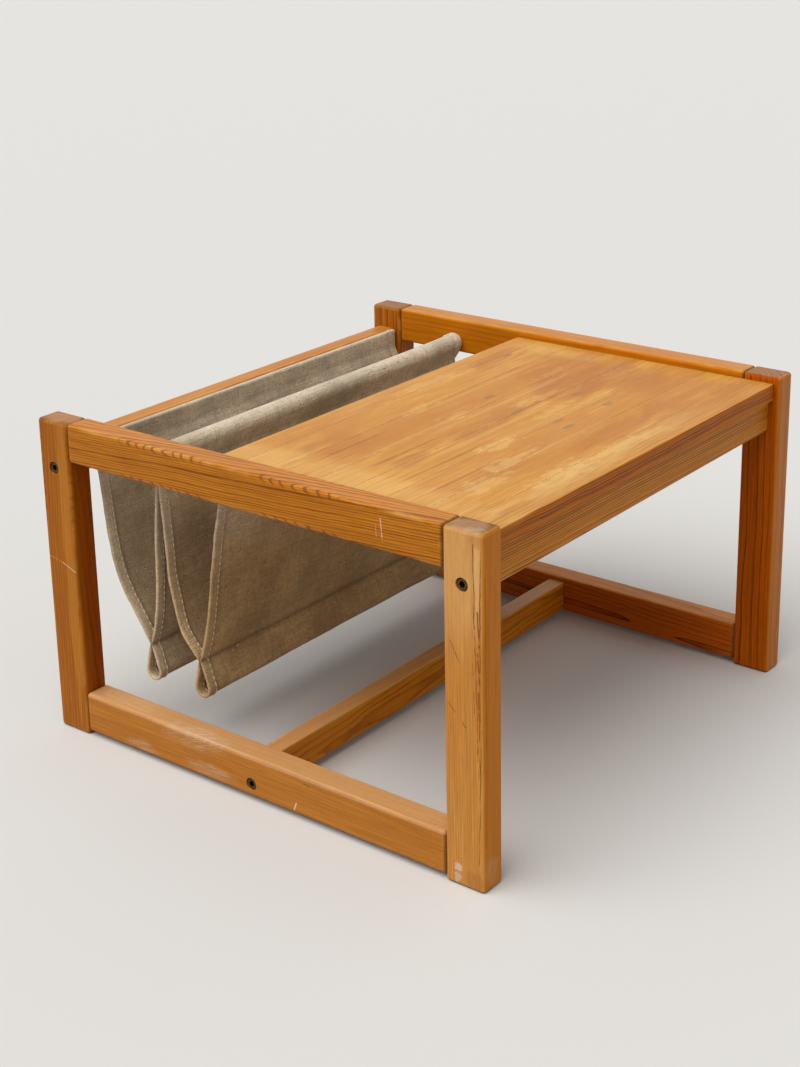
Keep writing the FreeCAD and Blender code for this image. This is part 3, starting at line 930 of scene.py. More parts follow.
    def near_rack_leg_marks(self) -> list[Mark]:
        """Painted shade on the outer side with painted light beside its front arris, a pale streak, scratches
        and rubbed top of the near leg beside the rack.

        Returns:
            The marks, in the order that they lie over each other.
        """
        low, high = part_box("leg_rack_near")
        left, right, front, top = low.x, high.x, low.y, high.z
        return [
            # Painted shade on the outer side face
            PaintedFaceShade(0, 1.0, "ECC864"),
            Patch((right - 0.010, front, 0.215), mm(8.0, 3.0, 190.0), "C9842C", 0.60, 0.7, 0.5,
                  self.long_grain),
            # Painted light on the outer side, paler beside the front arris
            Patch((right, front + 0.003, 0.190), mm(4.0, 9.0, 260.0), "A8620E", 0.50, 0.5, 0.9,
                  self.soft_grain),
            Scratch((left, front, 0.205), (left + 0.024, front, 0.201), 0.0006, "E6C692", 0.45,
                    self.sway, 0.6),
            Scratch((left + 0.024, front, 0.201), (right, front, 0.193), 0.0008, "EED6AE", 0.75,
                    self.sway, 0.3),
            Scratch((right - 0.0010, front, 0.122), (right - 0.0014, front, 0.104), 0.0008, "E8CBA0", 0.6,
                    self.sway),
            Patch((left + 0.024, front + 0.015, top), mm(22.0, 14.0, 5.0), "CC9464", 0.6, 1.0, 0.7),
        ]

    def far_top_leg_marks(self) -> list[Mark]:
        """Plain outer side with painted shade over it, and painted shade on the front of the far leg under the
        top.

        Returns:
            The marks, in the order that they lie over each other.
        """
        low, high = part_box("leg_top_far")
        middle = (low + high) / 2
        return [
            Patch((high.x, middle.y, 0.180), mm(3.0, 70.0, 400.0), "E29A50", 0.62, 0.3, 0.5, self.upright),
            # Painted shade on the outer side and on the front
            PaintedFaceShade(0, 1.0, "E6CE98"),
            PaintedFaceShade(1, -1.0, "DAA83A"),
        ]

    def dress_rails(self) -> None:
        """Upper and lower rails with their dents and scuffs, and painted shade on the fronts of the far ones.
        """
        low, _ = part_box("upper_rail_near")
        dents = [
            Scratch((0.175, low.y, 0.352), (0.177, low.y, 0.329), 0.0008, "F0D9B5", 0.7),
            Scratch((0.169, low.y, 0.346), (0.170, low.y, 0.333), 0.0005, "E8CDA4", 0.5),
        ]
        dress_pine("upper_rail_near", replace(
            self.rail, pale="D28526", dark="783806", amber="C27014", contrast=0.95, ring=0.0027,
            pith=(0.026, 0.042), lean=(0.0, -0.055), flecks=0.75,
            fleck_spans=((-0.167, -0.050), (0.020, 0.125)), seed=31.0), dents)
        dress_pine("upper_rail_far", replace(
            self.rail, pale="D08A3A", dark="9C5410", amber="C47C28", pith=(-0.05, 0.02), contrast=0.38,
            # Painted shade on the front face
            seed=37.3), [PaintedFaceShade(1, -1.0, "FAE058")])
        dress_pine("lower_rail_near", replace(
            self.rail, pale="D69446", dark="9C5A1C", amber="C88436", contrast=0.58, top_sheen_fade=0.4, ring=0.0022,
            pith=(0.030, 0.075), seed=43.9), self.lower_rail_marks())
        dress_pine("lower_rail_far", replace(
            self.rail, pale="E8963F", dark="6C3008", amber="D27C28", contrast=0.95, top_sheen_fade=0.4,
            late_start=0.58, ring=0.0062, pith=(0.018, 0.006), lean=(0.0, 0.05), wander=0.006, seed=49.6),
            # Painted shade on the front face
            [PaintedFaceShade(1, -1.0, "E0AC70")])

    def lower_rail_marks(self) -> list[Mark]:
        """Painted shade on the near lower rail's front, a painted sheen on its top, and the scuffs and nicks
        on its front.

        Returns:
            The marks, in the order that they lie over each other.
        """
        low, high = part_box("lower_rail_near")
        front, top = low.y, high.z
        return [
            # Painted shade on the front face
            PaintedFaceShade(1, -1.0, "F4E6CC"),
            # Painted sheen on the top face
            Patch((0.0, (low.y + high.y) / 2, top), mm(900.0, 60.0, 4.0), "D2AE8A", 0.36, 0.3, 0.5),
            Scuff((-0.088, front, 0.043), mm(44.0, 8.0, 10.0), (1.0, 0.0, 0.35), (-0.35, 0.0, 1.0),
                  "EAD9BE", 0.40),
            Scuff((-0.062, front, 0.016), mm(36.0, 8.0, 8.0), (1.0, 0.0, 0.10), (-0.10, 0.0, 1.0),
                  "EADBC4", 0.55),
            Scuff((-0.160, front, 0.014), mm(24.0, 8.0, 7.0), (1.0, 0.0, 0.15), (-0.15, 0.0, 1.0),
                  "EADBC4", 0.40),
            Scuff((-0.080, front + 0.006, top), mm(46.0, 10.0, 8.0), (1.0, 0.5, 0.0), (-0.5, 1.0, 0.0),
                  "EFE2CC", 0.5),
            Scratch((0.055, front, 0.010), (0.058, front, 0.018), 0.0011, "F2E6D2", 0.8),
            Scratch((0.068, front, 0.044), (0.078, front, 0.042), 0.0011, "5A2E0E", 0.7),
        ]


@dataclass
class CrossMembers:
    """Rack rail, apron, cleat and stretcher."""

    bar: Pine = Pine(Along.Y, ring=0.0024)

    def dress(self) -> None:
        """Gives every member its own wood, with painted shade on the sides of the apron and the stretcher and
        a painted sheen on the stretcher's top.
        """
        dress_pine("rack_rail", replace(self.bar, pale="D08C3C", contrast=0.40, pith=(0.05, 0.03), seed=61.0))
        dress_pine("top_apron", replace(
            self.bar, pale="E29636", dark="662C04", amber="D0842A", contrast=1.0, ring=0.0028,
            pith=(-0.020, 0.110), lean=(0.0, 0.012), wander=0.002, figure=0.4, seed=66.2),
            # Painted shade on the apron's outer side
            [PaintedFaceShade(0, 1.0, "FFF4C4")])
        dress_pine("top_cleat", replace(self.bar, pale="C68436", pith=(0.03, 0.05), seed=71.7))
        low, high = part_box("stretcher")
        middle = (low + high) / 2
        # Painted sheen on the stretcher's top face
        sheen = Patch((middle.x, middle.y, high.z), mm(60.0, 600.0, 4.0), "C8A27C", 0.50, 0.3, 0.5)
        dress_pine("stretcher", replace(
            self.bar, pale="E29432", dark="7E3C08", amber="C87414", contrast=0.95, late_start=0.55,
            top_sheen_fade=0.35, ring=0.0046, pith=(0.016, 0.002), lean=(0.0, -0.045), wander=0.007, seed=77.5),
            # Painted shade on the stretcher's outer side
            [sheen, PaintedFaceShade(0, 1.0, "FFEE84")])


@dataclass
class BoardTop:
    """Glued staves of the table top, with their shared stains."""

    stave: Pine = Pine(
        Along.Y, pale="D89C50", dark="A8631F", amber="CB8A3C", worn_tone="E3B26C", contrast=0.85,
        top_sheen_fade=0.30, blotch=0.45, figure=0.60, ring=0.0030, wear=0.30, roughness=0.43)
    tones: tuple[str, ...] = ("D39644", "DDA34A", "D0923E", "DA9E44", "DFA64C", "D49642", "D99D46", "D29442")
    pith_places: tuple[Span, ...] = (
        (0.020, 0.050), (-0.035, 0.030), (0.012, 0.060), (0.045, 0.040),
        (-0.015, 0.045), (0.030, 0.055), (-0.045, 0.035), (0.010, 0.090))
    first_seed: float = 90.0
    seed_step: float = 7.3
    glue_line: float = 0.0007
    glue_tone: str = "7E4E1E"
    glue_strength: float = 0.60
    # Painted shade on the board's edge face, over its grain
    edge_face_shade: str = "FACC60"
    worn_tone: str = "E8BC72"
    worn_rim: Span = (2.2, 1.0)
    mark_depth: float = 12.0
    mark_spread: float = 2.6
    drawn_out: Triple = (80.0, 17.0, 80.0)
    broken: Triple = (140.0, 60.0, 90.0)

    def marks(self, top: float) -> list[Patch]:
        """Stains, worn places and small dark spots on the top.

        Args:
            top: level of the board's upper face.

        Returns:
            The patches, in the frame that all pieces share.
        """
        def spot(x: float, y: float, reach_x: float, reach_y: float, tone: str, strength: float,
                 ragged: float = 1.1, soft: float = 0.8) -> Patch:
            """Patch on the top from its place and reach in millimetres, drawn out along the grain."""
            reach = mm(reach_x, reach_y, self.mark_depth)
            return Patch((*mm(x, y), top), reach, tone, strength, ragged, soft, self.drawn_out)

        def worn(x: float, y: float, reach_x: float, reach_y: float, strength: float) -> Patch:
            """Pale place with a broken outline, in millimetres."""
            reach = mm(reach_x, reach_y, self.mark_depth)
            return Patch((*mm(x, y), top), reach, self.worn_tone, strength, *self.worn_rim, self.broken)

        varnish, red, pale, grey, line = "BE782A", "AC6226", "E8BC72", "6E6050", "9A5C24"
        streak, ink = "EBC078", "7E4A46"
        return [
            spot(10, -105, 48, 92, varnish, 0.50), spot(62, -60, 40, 120, varnish, 0.45),
            spot(140, -40, 34, 150, varnish, 0.40), spot(208, 10, 36, 175, varnish, 0.50),
            spot(-20, -150, 28, 60, varnish, 0.45), spot(45, 95, 62, 110, varnish, 0.40),
            spot(100, 145, 34, 70, red, 0.60, 0.9), spot(112, 190, 14, 50, red, 0.50),
            spot(102, -28, 18, 80, red, 0.45), spot(107, -160, 12, 30, red, 0.45),
            spot(-28, 180, 18, 44, red, 0.55), spot(228, 140, 18, 52, red, 0.45),
            spot(222, 30, 18, 64, red, 0.40), spot(52, 150, 16, 44, red, 0.35),
            spot(10, -165, 34, 34, red, 0.30), spot(190, -140, 16, 60, red, 0.30),
            spot(130, 215, 60, 22, red, 0.32), spot(246, 215, 20, 30, red, 0.32),
            spot(60, -238, 200, 26, pale, 0.34), spot(258, -60, 13, 150, pale, 0.40),
            spot(130, 205, 170, 48, varnish, 0.55), spot(20, 240, 60, 16, pale, 0.25),
            spot(200, 165, 80, 66, varnish, 0.34), spot(105, 195, 78, 62, red, 0.34),
            worn(150, -70, 9, 24, 0.50), worn(133, 48, 7, 30, 0.36), worn(12, -20, 6, 26, 0.32),
            worn(248, -112, 11, 40, 0.50), worn(55, 160, 6, 22, 0.18), worn(252, 0, 7, 48, 0.40),
            worn(186, -112, 8, 34, 0.42), worn(96, 70, 6, 30, 0.30), worn(205, -178, 12, 26, 0.40),
            worn(60, -20, 8, 24, 0.30), worn(-35, 60, 8, 40, 0.30), worn(120, 200, 9, 26, 0.16),
            spot(118, -60, 3, 110, streak, 0.26, 0.9), spot(62, -100, 3, 90, streak, 0.24, 0.9),
            spot(74, 60, 3, 120, streak, 0.22, 0.9), spot(150, 40, 3, 120, streak, 0.24, 0.9),
            spot(196, -40, 3, 100, streak, 0.22, 0.9), spot(20, 70, 3, 110, streak, 0.22, 0.9),
            spot(136, -150, 2, 60, line, 0.6, 0.9), spot(86, -140, 2, 60, line, 0.6, 0.9),
            spot(176, -170, 2, 50, line, 0.55, 0.9), spot(30, -170, 2, 50, line, 0.55, 0.9),
            spot(49, 50, 3.4, 7.5, grey, 0.50, 1.5, 0.6), spot(103, 25, 3.0, 9.0, grey, 0.36, 1.5, 0.6),
            spot(157, 24, 3.0, 9.0, grey, 0.45, 1.5, 0.6), spot(176, 13, 3.6, 11.0, grey, 0.45, 1.5, 0.6),
            spot(170, 102, 4.2, 9.0, grey, 0.52, 1.5, 0.6), spot(122, 113, 2.8, 7.0, grey, 0.40, 1.5, 0.6),
            spot(-26, 198, 4.0, 9.0, ink, 0.50, 1.0, 0.6),
        ]

    def reaching(self, low: Vector, high: Vector) -> list[Mark]:
        """Marks that reach a stave, and the glue lines at its edges.

        Args:
            low: lowest corner of the stave.
            high: highest corner of the stave.

        Returns:
            The marks.
        """
        found: list[Mark] = []
        for mark in self.marks(high.z):
            spread = self.mark_spread * mark.reach[0]
            if low.x - spread < mark.centre[0] < high.x + spread:
                found.append(mark)
        for edge in (low.x, high.x):
            start, end = (edge, low.y, high.z), (edge, high.y, high.z)
            found.append(Scratch(start, end, self.glue_line, self.glue_tone, self.glue_strength))
        return found

    def dress(self) -> None:
        """Gives every stave its own wood and the marks that reach it; the last one shows the board's edge,
        with painted shade on it.
        """
        for index, (tone, pith) in enumerate(zip(self.tones, self.pith_places)):
            number = index + 1
            node = f"stave_{number}"
            marks = self.reaching(*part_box(node))
            pine = replace(self.stave, pale=tone, pith=pith, seed=self.first_seed + self.seed_step * number)
            if number == len(self.tones):
                pine = replace(pine, contrast=1.0, dark="7C3E0A", ring=0.0027, pith=(0.020, 0.050),
                               wander=0.006, wear=0.20)
                # Painted shade on the board's edge face
                marks.append(PaintedFaceShade(0, 1.0, self.edge_face_shade))
            dress_pine(node, pine, marks)


@dataclass
class Fasteners:
    """Bolts, nuts, screws, tacks and dowels."""

    bronzed: Metal = Metal("6A5138", "33261B", 0.45)
    plated: Metal = Metal("A8A294", "7C7466", 0.38)
    beech: Pine = Pine(Along.Y, pale="C9A074", dark="9A6E44", amber="B98C5E", contrast=0.25, ring=0.0012)

    def dress(self) -> None:
        """Gives every fastener its finish."""
        dress("connector_bolts", self.bronzed.material("bronzed_steel"))
        plated = self.plated.material("plated_steel")
        for node in ("barrel_nuts", "top_screws", "tacks"):
            dress(node, plated)
        dress_pine("locating_dowels", self.beech)
        for node in ("frame_dowels_near", "frame_dowels_far"):
            dress_pine(node, replace(self.beech, along=Along.X))


@dataclass(frozen=True)
class Linen:
    """Coarse linen canvas with slubs, pale worn folds, soil blotches and painted shade at the seams, beside
    the hems and low in the pockets.
    """

    weft: str = "F3E3CB"
    warp: str = "DAC6AA"
    slub: str = "F0E2CA"
    # Soil in the random blotches; the same tone carries the painted shade from the mesh
    soil_and_shade: str = "80643F"
    worn: str = "EBDDC6"
    speck: str = "4A3B29"
    dust: str = "A39B88"
    knot: str = "DCCAA8"

    # Random fields over the cloth's own lengths
    bend_wave: Wave = Wave((60.0, 60.0, 0.0), 4.0)
    weft_wave: Wave = Wave((26.0, 560.0, 0.0), 1.0, 3.0)
    warp_wave: Wave = Wave((560.0, 30.0, 0.0), 2.0, 3.0)
    grit_wave: Wave = Wave((420.0, 520.0, 0.0), 3.0)
    felt_wave: Wave = Wave((120.0, 150.0, 0.0), 18.0, 4.0)
    blotch_wave: Wave = Wave((9.0, 9.0, 0.0), 6.0, 5.0)
    dust_wave: Wave = Wave((15.0, 15.0, 0.0), 27.0, 5.0)
    slub_wave: Wave = Wave((110.0, 260.0, 0.0), 9.0)
    long_slub_wave: Wave = Wave((16.0, 420.0, 0.0), 12.0)
    speck_wave: Wave = Wave((260.0, 300.0, 0.0), 15.0, 1.0)
    crowd_wave: Wave = Wave((30.0, 30.0, 0.0), 21.0)

    # Threads, and how much their tones show
    thread_pitch: float = 0.0016
    bend: float = 2.4
    yarn_span: Span = (0.3, 0.7)
    yarn_stops: tuple[Stop, ...] = ((0.0, (0.72, 0.69, 0.64, 1.0)), (1.0, (1.28, 1.28, 1.26, 1.0)))
    yarn_share: float = 0.58
    felt_stops: tuple[Stop, ...] = ((0.30, (0.80, 0.78, 0.74, 1.0)), (0.70, (1.20, 1.20, 1.18, 1.0)))
    felt_share: float = 0.60
    grit_stops: tuple[Stop, ...] = ((0.28, (0.76, 0.73, 0.68, 1.0)), (0.72, (1.26, 1.26, 1.24, 1.0)))
    grit_share: float = 0.80

    # Soil, dust, slubs and specks, and how much painted shade and wear show
    blotch_span: Span = (0.40, 0.70)
    blotch_share: float = 0.45
    dust_span: Span = (0.46, 0.68)
    dust_share: float = 0.32
    long_slub_span: Span = (0.62, 0.72)
    long_slub_share: float = 0.30
    slub_span: Span = (0.63, 0.71)
    slub_share: float = 0.60
    speck_span: Span = (0.69, 0.78)
    speck_share: float = 0.55
    painted_shade_share: float = 0.6
    worn_floor: float = 0.4
    worn_spread: float = 0.4

    # Knots: ragged cells of unlike sizes, in crowds
    knot_waves: Triple = (105.0, 170.0, 0.0)
    fray_waves: Triple = (420.0, 420.0, 0.0)
    fray: Triple = (0.0015, 0.0009, 0.0)
    fray_seed: float = 5.0
    knot_spread: float = 0.46
    knot_drop: float = 0.19
    knot_edge: Span = (0.0, 0.08)
    crowd_span: Span = (0.46, 0.62)
    knot_share: float = 0.72

    # Painted shade: a deeper tone low down in the pockets, more so towards the table top
    low_shade_tone: str = "DDC8A2"
    low_levels: Span = (0.33, 0.20)
    low_sides: Span = (-0.20, -0.09)
    low_floor: float = 0.4
    low_spread: float = 0.6

    # Relief and gloss
    weave_height: float = 0.45
    yarn_height: float = 0.45
    grit_height: float = 0.5
    slub_height: float = 0.9
    long_slub_height: float = 0.5
    knot_height: float = 1.6
    relief: float = 0.0010
    relief_strength: float = 0.9
    roughness: float = 0.92
    gloss: float = 0.15
    fuzz: float = 0.12
    fuzz_roughness: float = 0.5

    def material(self, name: str) -> bpy.types.Material:
        """Builds the finish; the cloth's own lengths run along its map.

        Args:
            name: the material's name.

        Returns:
            The material.
        """
        shade = Shade(name)
        cloth = Signal(shade, shade.add("ShaderNodeUVMap", uv_map="cloth").outputs["UV"])
        weave = self.weave(shade, cloth)
        yarn = self.yarn(shade, cloth)
        grit = self.grit_wave.over(shade, cloth)
        felt = self.felt_wave.over(shade, cloth)
        blotch = self.blotch_wave.over(shade, cloth).step(*self.blotch_span)
        dusty = self.dust_wave.over(shade, cloth).step(*self.dust_span)
        slubs = self.slub_wave.over(shade, cloth).step(*self.slub_span)
        long_slubs = self.long_slub_wave.over(shade, cloth).step(*self.long_slub_span)
        specks = self.speck_wave.over(shade, cloth).step(*self.speck_span)
        knots = self.knots(shade, cloth)
        worn = Signal(shade, shade.add("ShaderNodeAttribute", attribute_name="worn").outputs["Fac"])
        painted_shade = Signal(shade, shade.add("ShaderNodeAttribute", attribute_name="painted_shade").outputs["Fac"])

        colour = shade.mix(weave, paint(self.warp), paint(self.weft))
        for share, amount, stops in (
                (self.yarn_share, yarn, self.yarn_stops),
                (self.felt_share, felt, self.felt_stops),
                (self.grit_share, grit, self.grit_stops)):
            colour = shade.mix(share, colour, shade.ramp(amount, *stops), "MULTIPLY")
        for mask, tone in (
                (blotch * self.blotch_share, self.soil_and_shade),
                (dusty * self.dust_share, self.dust),
                (long_slubs * self.long_slub_share, self.slub),
                (slubs * self.slub_share, self.slub),
                (specks * self.speck_share, self.speck),
                # painted shade from the mesh, in the soil tone
                (painted_shade * self.painted_shade_share, self.soil_and_shade),
                (worn * (weave * self.worn_spread + self.worn_floor), self.worn)):
            colour = shade.mix(mask, colour, paint(tone))
        # Painted shade low down in the pockets, more so towards the table top
        colour = shade.mix(self.low_shade(shade), colour, paint(self.low_shade_tone), "MULTIPLY")
        colour = shade.mix(knots * self.knot_share, colour, paint(self.knot))
        threads = weave * self.weave_height + yarn * self.yarn_height + grit * self.grit_height
        lumps = slubs * self.slub_height + long_slubs * self.long_slub_height + knots * self.knot_height
        shade.set(Base_Color=colour, Roughness=self.roughness, Specular_IOR_Level=self.gloss,
                  Sheen_Weight=self.fuzz, Sheen_Roughness=self.fuzz_roughness,
                  Normal=shade.bump(threads + lumps, self.relief, self.relief_strength))
        return shade.material

    def weave(self, shade: Shade, cloth: Signal) -> Signal:
        """Threads that cross over and under each other.

        Args:
            shade: the material under way.
            cloth: place on the cloth.

        Returns:
            0 where the warp lies on top, 1 where the weft does.
        """
        across, along, _ = shade.split(cloth)
        turn = math.tau / self.thread_pitch
        bend = (self.bend_wave.over(shade, cloth) - 0.5) * self.bend
        weft = shade.math("SINE", along * turn + bend)
        warp = shade.math("SINE", across * turn + bend)
        return weft * warp * 0.5 + 0.5

    def yarn(self, shade: Shade, cloth: Signal) -> Signal:
        """Threads of unlike tone, half of it from each way."""
        weft = self.weft_wave.over(shade, cloth).step(*self.yarn_span)
        return weft * 0.5 + self.warp_wave.over(shade, cloth).step(*self.yarn_span) * 0.5

    def knots(self, shade: Shade, cloth: Signal) -> Signal:
        """Raised knots of yarn, where they crowd.

        Args:
            shade: the material under way.
            cloth: place on the cloth.

        Returns:
            1 on a knot, 0 beside it.
        """
        cells = shade.add("ShaderNodeTexVoronoi", voronoi_dimensions="2D")
        ragged = shade.warp(cloth, self.fray_waves, self.fray, self.fray_seed)
        shade.put(cells.inputs["Vector"], shade.vector("MULTIPLY", ragged, self.knot_waves))
        shade.put(cells.inputs["Scale"], 1.0)
        chance = shade.split(Signal(shade, cells.outputs["Color"]))[0]
        size = chance * self.knot_spread - self.knot_drop
        crowd = self.crowd_wave.over(shade, cloth).step(*self.crowd_span)
        return (size - Signal(shade, cells.outputs["Distance"])).step(*self.knot_edge) * crowd

    def low_shade(self, shade: Shade) -> Signal:
        """How much of the painted low shade shows at a place."""
        side, _, level = shade.split(shade.point())
        return level.step(*self.low_levels) * (side.step(*self.low_sides) * self.low_spread + self.low_floor)


@dataclass(frozen=True)
class Thread:
    """Sewing thread of about the cloth's own tone."""

    tone: str = "E8DCC2"
    shadow: str = "C4B292"
    twist_wave: Wave = Wave((900.0, 900.0, 900.0), 2.0)
    twist_span: Span = (0.3, 0.7)
    roughness: float = 0.85
    relief: float = 0.0001
    relief_strength: float = 0.6

    def material(self, name: str) -> bpy.types.Material:
        """Builds the finish.

        Args:
            name: the material's name.

        Returns:
            The material.
        """
        shade = Shade(name)
        twist = self.twist_wave.over(shade, shade.point())
        colour = shade.mix(twist.step(*self.twist_span), paint(self.shadow), paint(self.tone))
        shade.set(Base_Color=colour, Roughness=self.roughness,
                  Normal=shade.bump(twist, self.relief, self.relief_strength))
        return shade.material


def run_lengths(points: np.ndarray) -> np.ndarray:
    """Lengths along a line of points, from 0 at the first."""
    steps = np.linalg.norm(np.diff(points, axis=0), axis=1)
    return np.concatenate([[0.0], np.cumsum(steps)])


class Stretch(Enum):
    """Stretches of the sling, in the order that the cloth runs."""

    FOLD = 0
    WALL = 1
    TUNNEL = 2
    SLEEVE = 3


@dataclass
class ClothLine:
    """The sling seen end on: its middle line, sampled, with what each sample belongs to."""

    points: np.ndarray
    kinds: np.ndarray
    shares: np.ndarray
    necks: list[int] = field(default_factory=list)

    def __post_init__(self) -> None:
        """Works out lengths along the line and its normals."""
        self.lengths = run_lengths(self.points)
        way = np.gradient(self.points, self.lengths, axis=0)
        way /= np.linalg.norm(way, axis=1)[:, None]
        self.normals = np.stack([-way[:, 1], way[:, 0]], axis=1)

    def within(self, stretch: Stretch) -> np.ndarray:
        """Whether each sample belongs to a kind of stretch."""
        return self.kinds == stretch.value


@dataclass(frozen=True)
class Ripple:
    """A random movement over the cloth: its waves in a metre along and across, and its height."""

    along: float
    across: float
    seed: float
    height: float
    shift: float = 0.0
    slant: float = 0.0

    def at(self, length: float, y: float = 0.0) -> float:
        """Height at a length along the cloth and a distance across it."""
        place = (length * self.along + y * self.slant, y * self.across + self.shift, self.seed)
        return self.height * noise.noise(Vector(place))


@dataclass
class CanvasRack:
    """The canvas sling with its hems, tunnels, sleeve and stitching, and the rod and strips that hold it."""

    linen: Linen = Linen()
    thread: Thread = Thread()
    rod_wood: Pine = Pine(Along.Y, pale="CFA069", dark="A8763F", amber="C08F57", contrast=0.3, ring=0.002)
    strip_seed: float = 4.0

    # The sling seen end on
    thickness: float = 0.0014
    seam_gap: float = 0.0002
    below_rail_top: float = 0.0005
    pad_depth: float = 0.0058
    strip_height: float = 0.018
    hem_below_strip: float = 0.002
    sleeve_clearance: float = 0.0003
    seam_below_rod: float = 0.020
    neck_drop: float = 0.224
    tunnel_height: float = 0.041
    tunnel_radius: float = 0.0092
    tunnel_lean: float = 0.002
    first_wall_shares: tuple[Span, ...] = ((0.112, 0.190), (0.178, 0.470), (0.300, 0.690))
    first_neck_share: float = 0.745
    second_wall_shares: tuple[Span, ...] = ((0.816, 0.905), (0.878, 0.715), (0.925, 0.410))
    third_wall_shares: tuple[Span, ...] = ((0.055, 0.410), (0.118, 0.690), (0.230, 0.870))
    second_neck_share: float = 0.492
    fourth_wall_shares: tuple[Span, ...] = ((0.615, 0.850), (0.715, 0.620), (0.830, 0.330))

    # How finely it is sampled
    wall_step: float = 0.0043
    bend_step: float = 0.0014
    column_step: float = 0.0062
    wall_samples: int = 24
    loop_samples: int = 40
    fold_samples: int = 13
    hem_columns: tuple[float, ...] = mm(
        0.0, 0.12, 0.45, 1.1, 3.0, 6.0, 8.6, 9.7, 10.2, 10.7, 11.4, 12.0, 12.8, 15.0, 19.0)

    # Hems and their stitches; a stitch's profile is place along it, width and lift
    hem_width: float = 0.0118
    hem_edge: float = 0.0005
    hem_swell: float = 0.0013
    hem_turning: float = 0.024
    hem_evenness: float = 0.82
    hem_ripple: Ripple = Ripple(95.0, 0.0, 0.4, 0.32, shift=6.1)
    rim_round: float = 0.0011
    groove_width: float = 0.0006
    groove_depth: float = 0.45
    seam_flat: float = 0.002
    seam_rise: float = 0.007
    sleeve_hem: float = 0.4
    stitch_inset: float = 0.0102
    stitch_length: float = 0.0062
    stitch_pitch: float = 0.0071
    stitch_radius: float = 0.0007
    stitch_probe: float = 0.001
    stitch_spokes: int = 6
    stitch_profile: tuple[Triple, ...] = (
        (-0.5, 0.15, -0.7), (-0.25, 0.85, 0.4), (0.0, 1.0, 0.7), (0.25, 0.85, 0.4), (0.5, 0.15, -0.7))

    # How freely each stretch moves, in the order of Stretch, and how it moves
    freedom: tuple[float, ...] = (0.03, 1.0, 0.30, 0.06)
    slack_shape: float = 0.8
    least_slack: float = 0.02
    sway: tuple[Ripple, ...] = (
        Ripple(7.0, 4.2, 1.7, 0.0034), Ripple(26.0, 5.0, 5.1, 0.0019),
        Ripple(34.0, 15.0, 2.9, 0.0015, slant=9.0), Ripple(70.0, 60.0, 9.3, 0.0006))
    hem_hold: float = 0.6
    hold_reach: float = 0.030
    pucker: Ripple = Ripple(12.0, 85.0, 3.3, 0.00035)
    pucker_reach: float = 0.010
    pucker_slack: float = 6.0
    sleeve_flare: float = 0.0013
    flare_reach: float = 0.030
    flare_ripple: Ripple = Ripple(26.0, 5.0, 5.1, 0.6)
    edge_ripples: tuple[Ripple, ...] = (
        Ripple(18.0, 0.0, 7.7, 0.0012, shift=2.2), Ripple(85.0, 0.0, 1.7, 0.0006, shift=4.2))
    edge_reach: float = 0.02
    sleeve_reach: float = 0.0018

    # Where it is worn pale
    worn_mean: float = 0.75
    worn_ripple: Ripple = Ripple(60.0, 0.0, 0.9, 0.5, shift=0.3)
    edge_worn: float = 0.45
    edge_worn_reach: float = 0.0016
    stitch_worn: float = 0.45
    stitch_worn_shift: float = 0.0005
    stitch_worn_reach: float = 0.0022
    fold_worn: float = 0.9
    fold_worn_below: float = 0.0035
    fold_worn_rise: float = 0.002
    sleeve_worn: float = 0.55
    sleeve_worn_reach: float = 0.004
    hem_worn: float = 0.11

    # Painted shade: in the creases at the seams, beside the hems and low in the pockets
    tunnel_crease_shade: float = 0.95
    seam_crease_shade: float = 0.10
    crease_shade_reach: float = 0.0034
    hem_shadow: float = 0.55
    hem_shadow_shift: float = 0.0016
    hem_shadow_reach: float = 0.0014
    pocket_shade: float = 0.65
    pocket_shade_below: float = 0.050
    pocket_shade_fall: float = 0.050

    def __post_init__(self) -> None:
        """Reads the places that the sling hangs from."""
        _, rail_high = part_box("rack_rail")
        cleat_low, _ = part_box("top_cleat")
        rod_low, rod_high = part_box("rack_rod")
        cloth_low, cloth_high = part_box("canvas_sling")
        self.rail_face = rail_high.x
        self.cleat_face = cleat_low.x
        self.top_level = rail_high.z
        self.rod_x = (rod_low.x + rod_high.x) / 2
        self.rod_z = (rod_low.z + rod_high.z) / 2
        self.rod_radius = (rod_high.z - rod_low.z) / 2
        self.near = cloth_low.y
        self.far = cloth_high.y

    def build(self) -> None:
        """Makes the cloth and its stitching and dresses what holds them."""
        line = self.line()
        cloth, top_side, under_side = self.cloth(line)
        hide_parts("canvas_sling")
        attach(cloth, TABLE)
        stitching = self.stitching(top_side, under_side)
        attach(stitching, TABLE)
        dress_pine("rack_rod", self.rod_wood)
        for node in ("tack_strip_rack", "tack_strip_top"):
            dress_pine(node, replace(self.rod_wood, seed=self.strip_seed))

    def wall_points(self, left: float, right: float, shares: Sequence[Span]) -> list[np.ndarray]:
        """Places on a wall from shares of its pocket's width and of the neck's drop."""
        return [np.array([left + u * (right - left), self.top_level - v * self.neck_drop]) for u, v in shares]

    def loop(self, start: np.ndarray, end: np.ndarray, apex: np.ndarray, centre: np.ndarray,
             radius: float) -> np.ndarray:
        """A sewn loop seen end on: straight side, round far side and straight side back.

        Args:
            start: where the loop begins, on the rack side.
            end: where it ends, on the top's side.
            apex: point between them.
            centre: middle of the round side.
            radius: its radius.

        Returns:
            Points round the loop.
        """
        reach = apex - centre
        turn = math.acos(radius / np.linalg.norm(reach))
        base = math.atan2(reach[1], reach[0])
        way = 1.0 if centre[1] < apex[1] else -1.0
        angles = np.linspace(base + way * turn, base + way * (math.tau - turn), self.loop_samples)
        arc = centre + radius * np.stack([np.cos(angles), np.sin(angles)], axis=1)
        return np.vstack([start, arc, end])

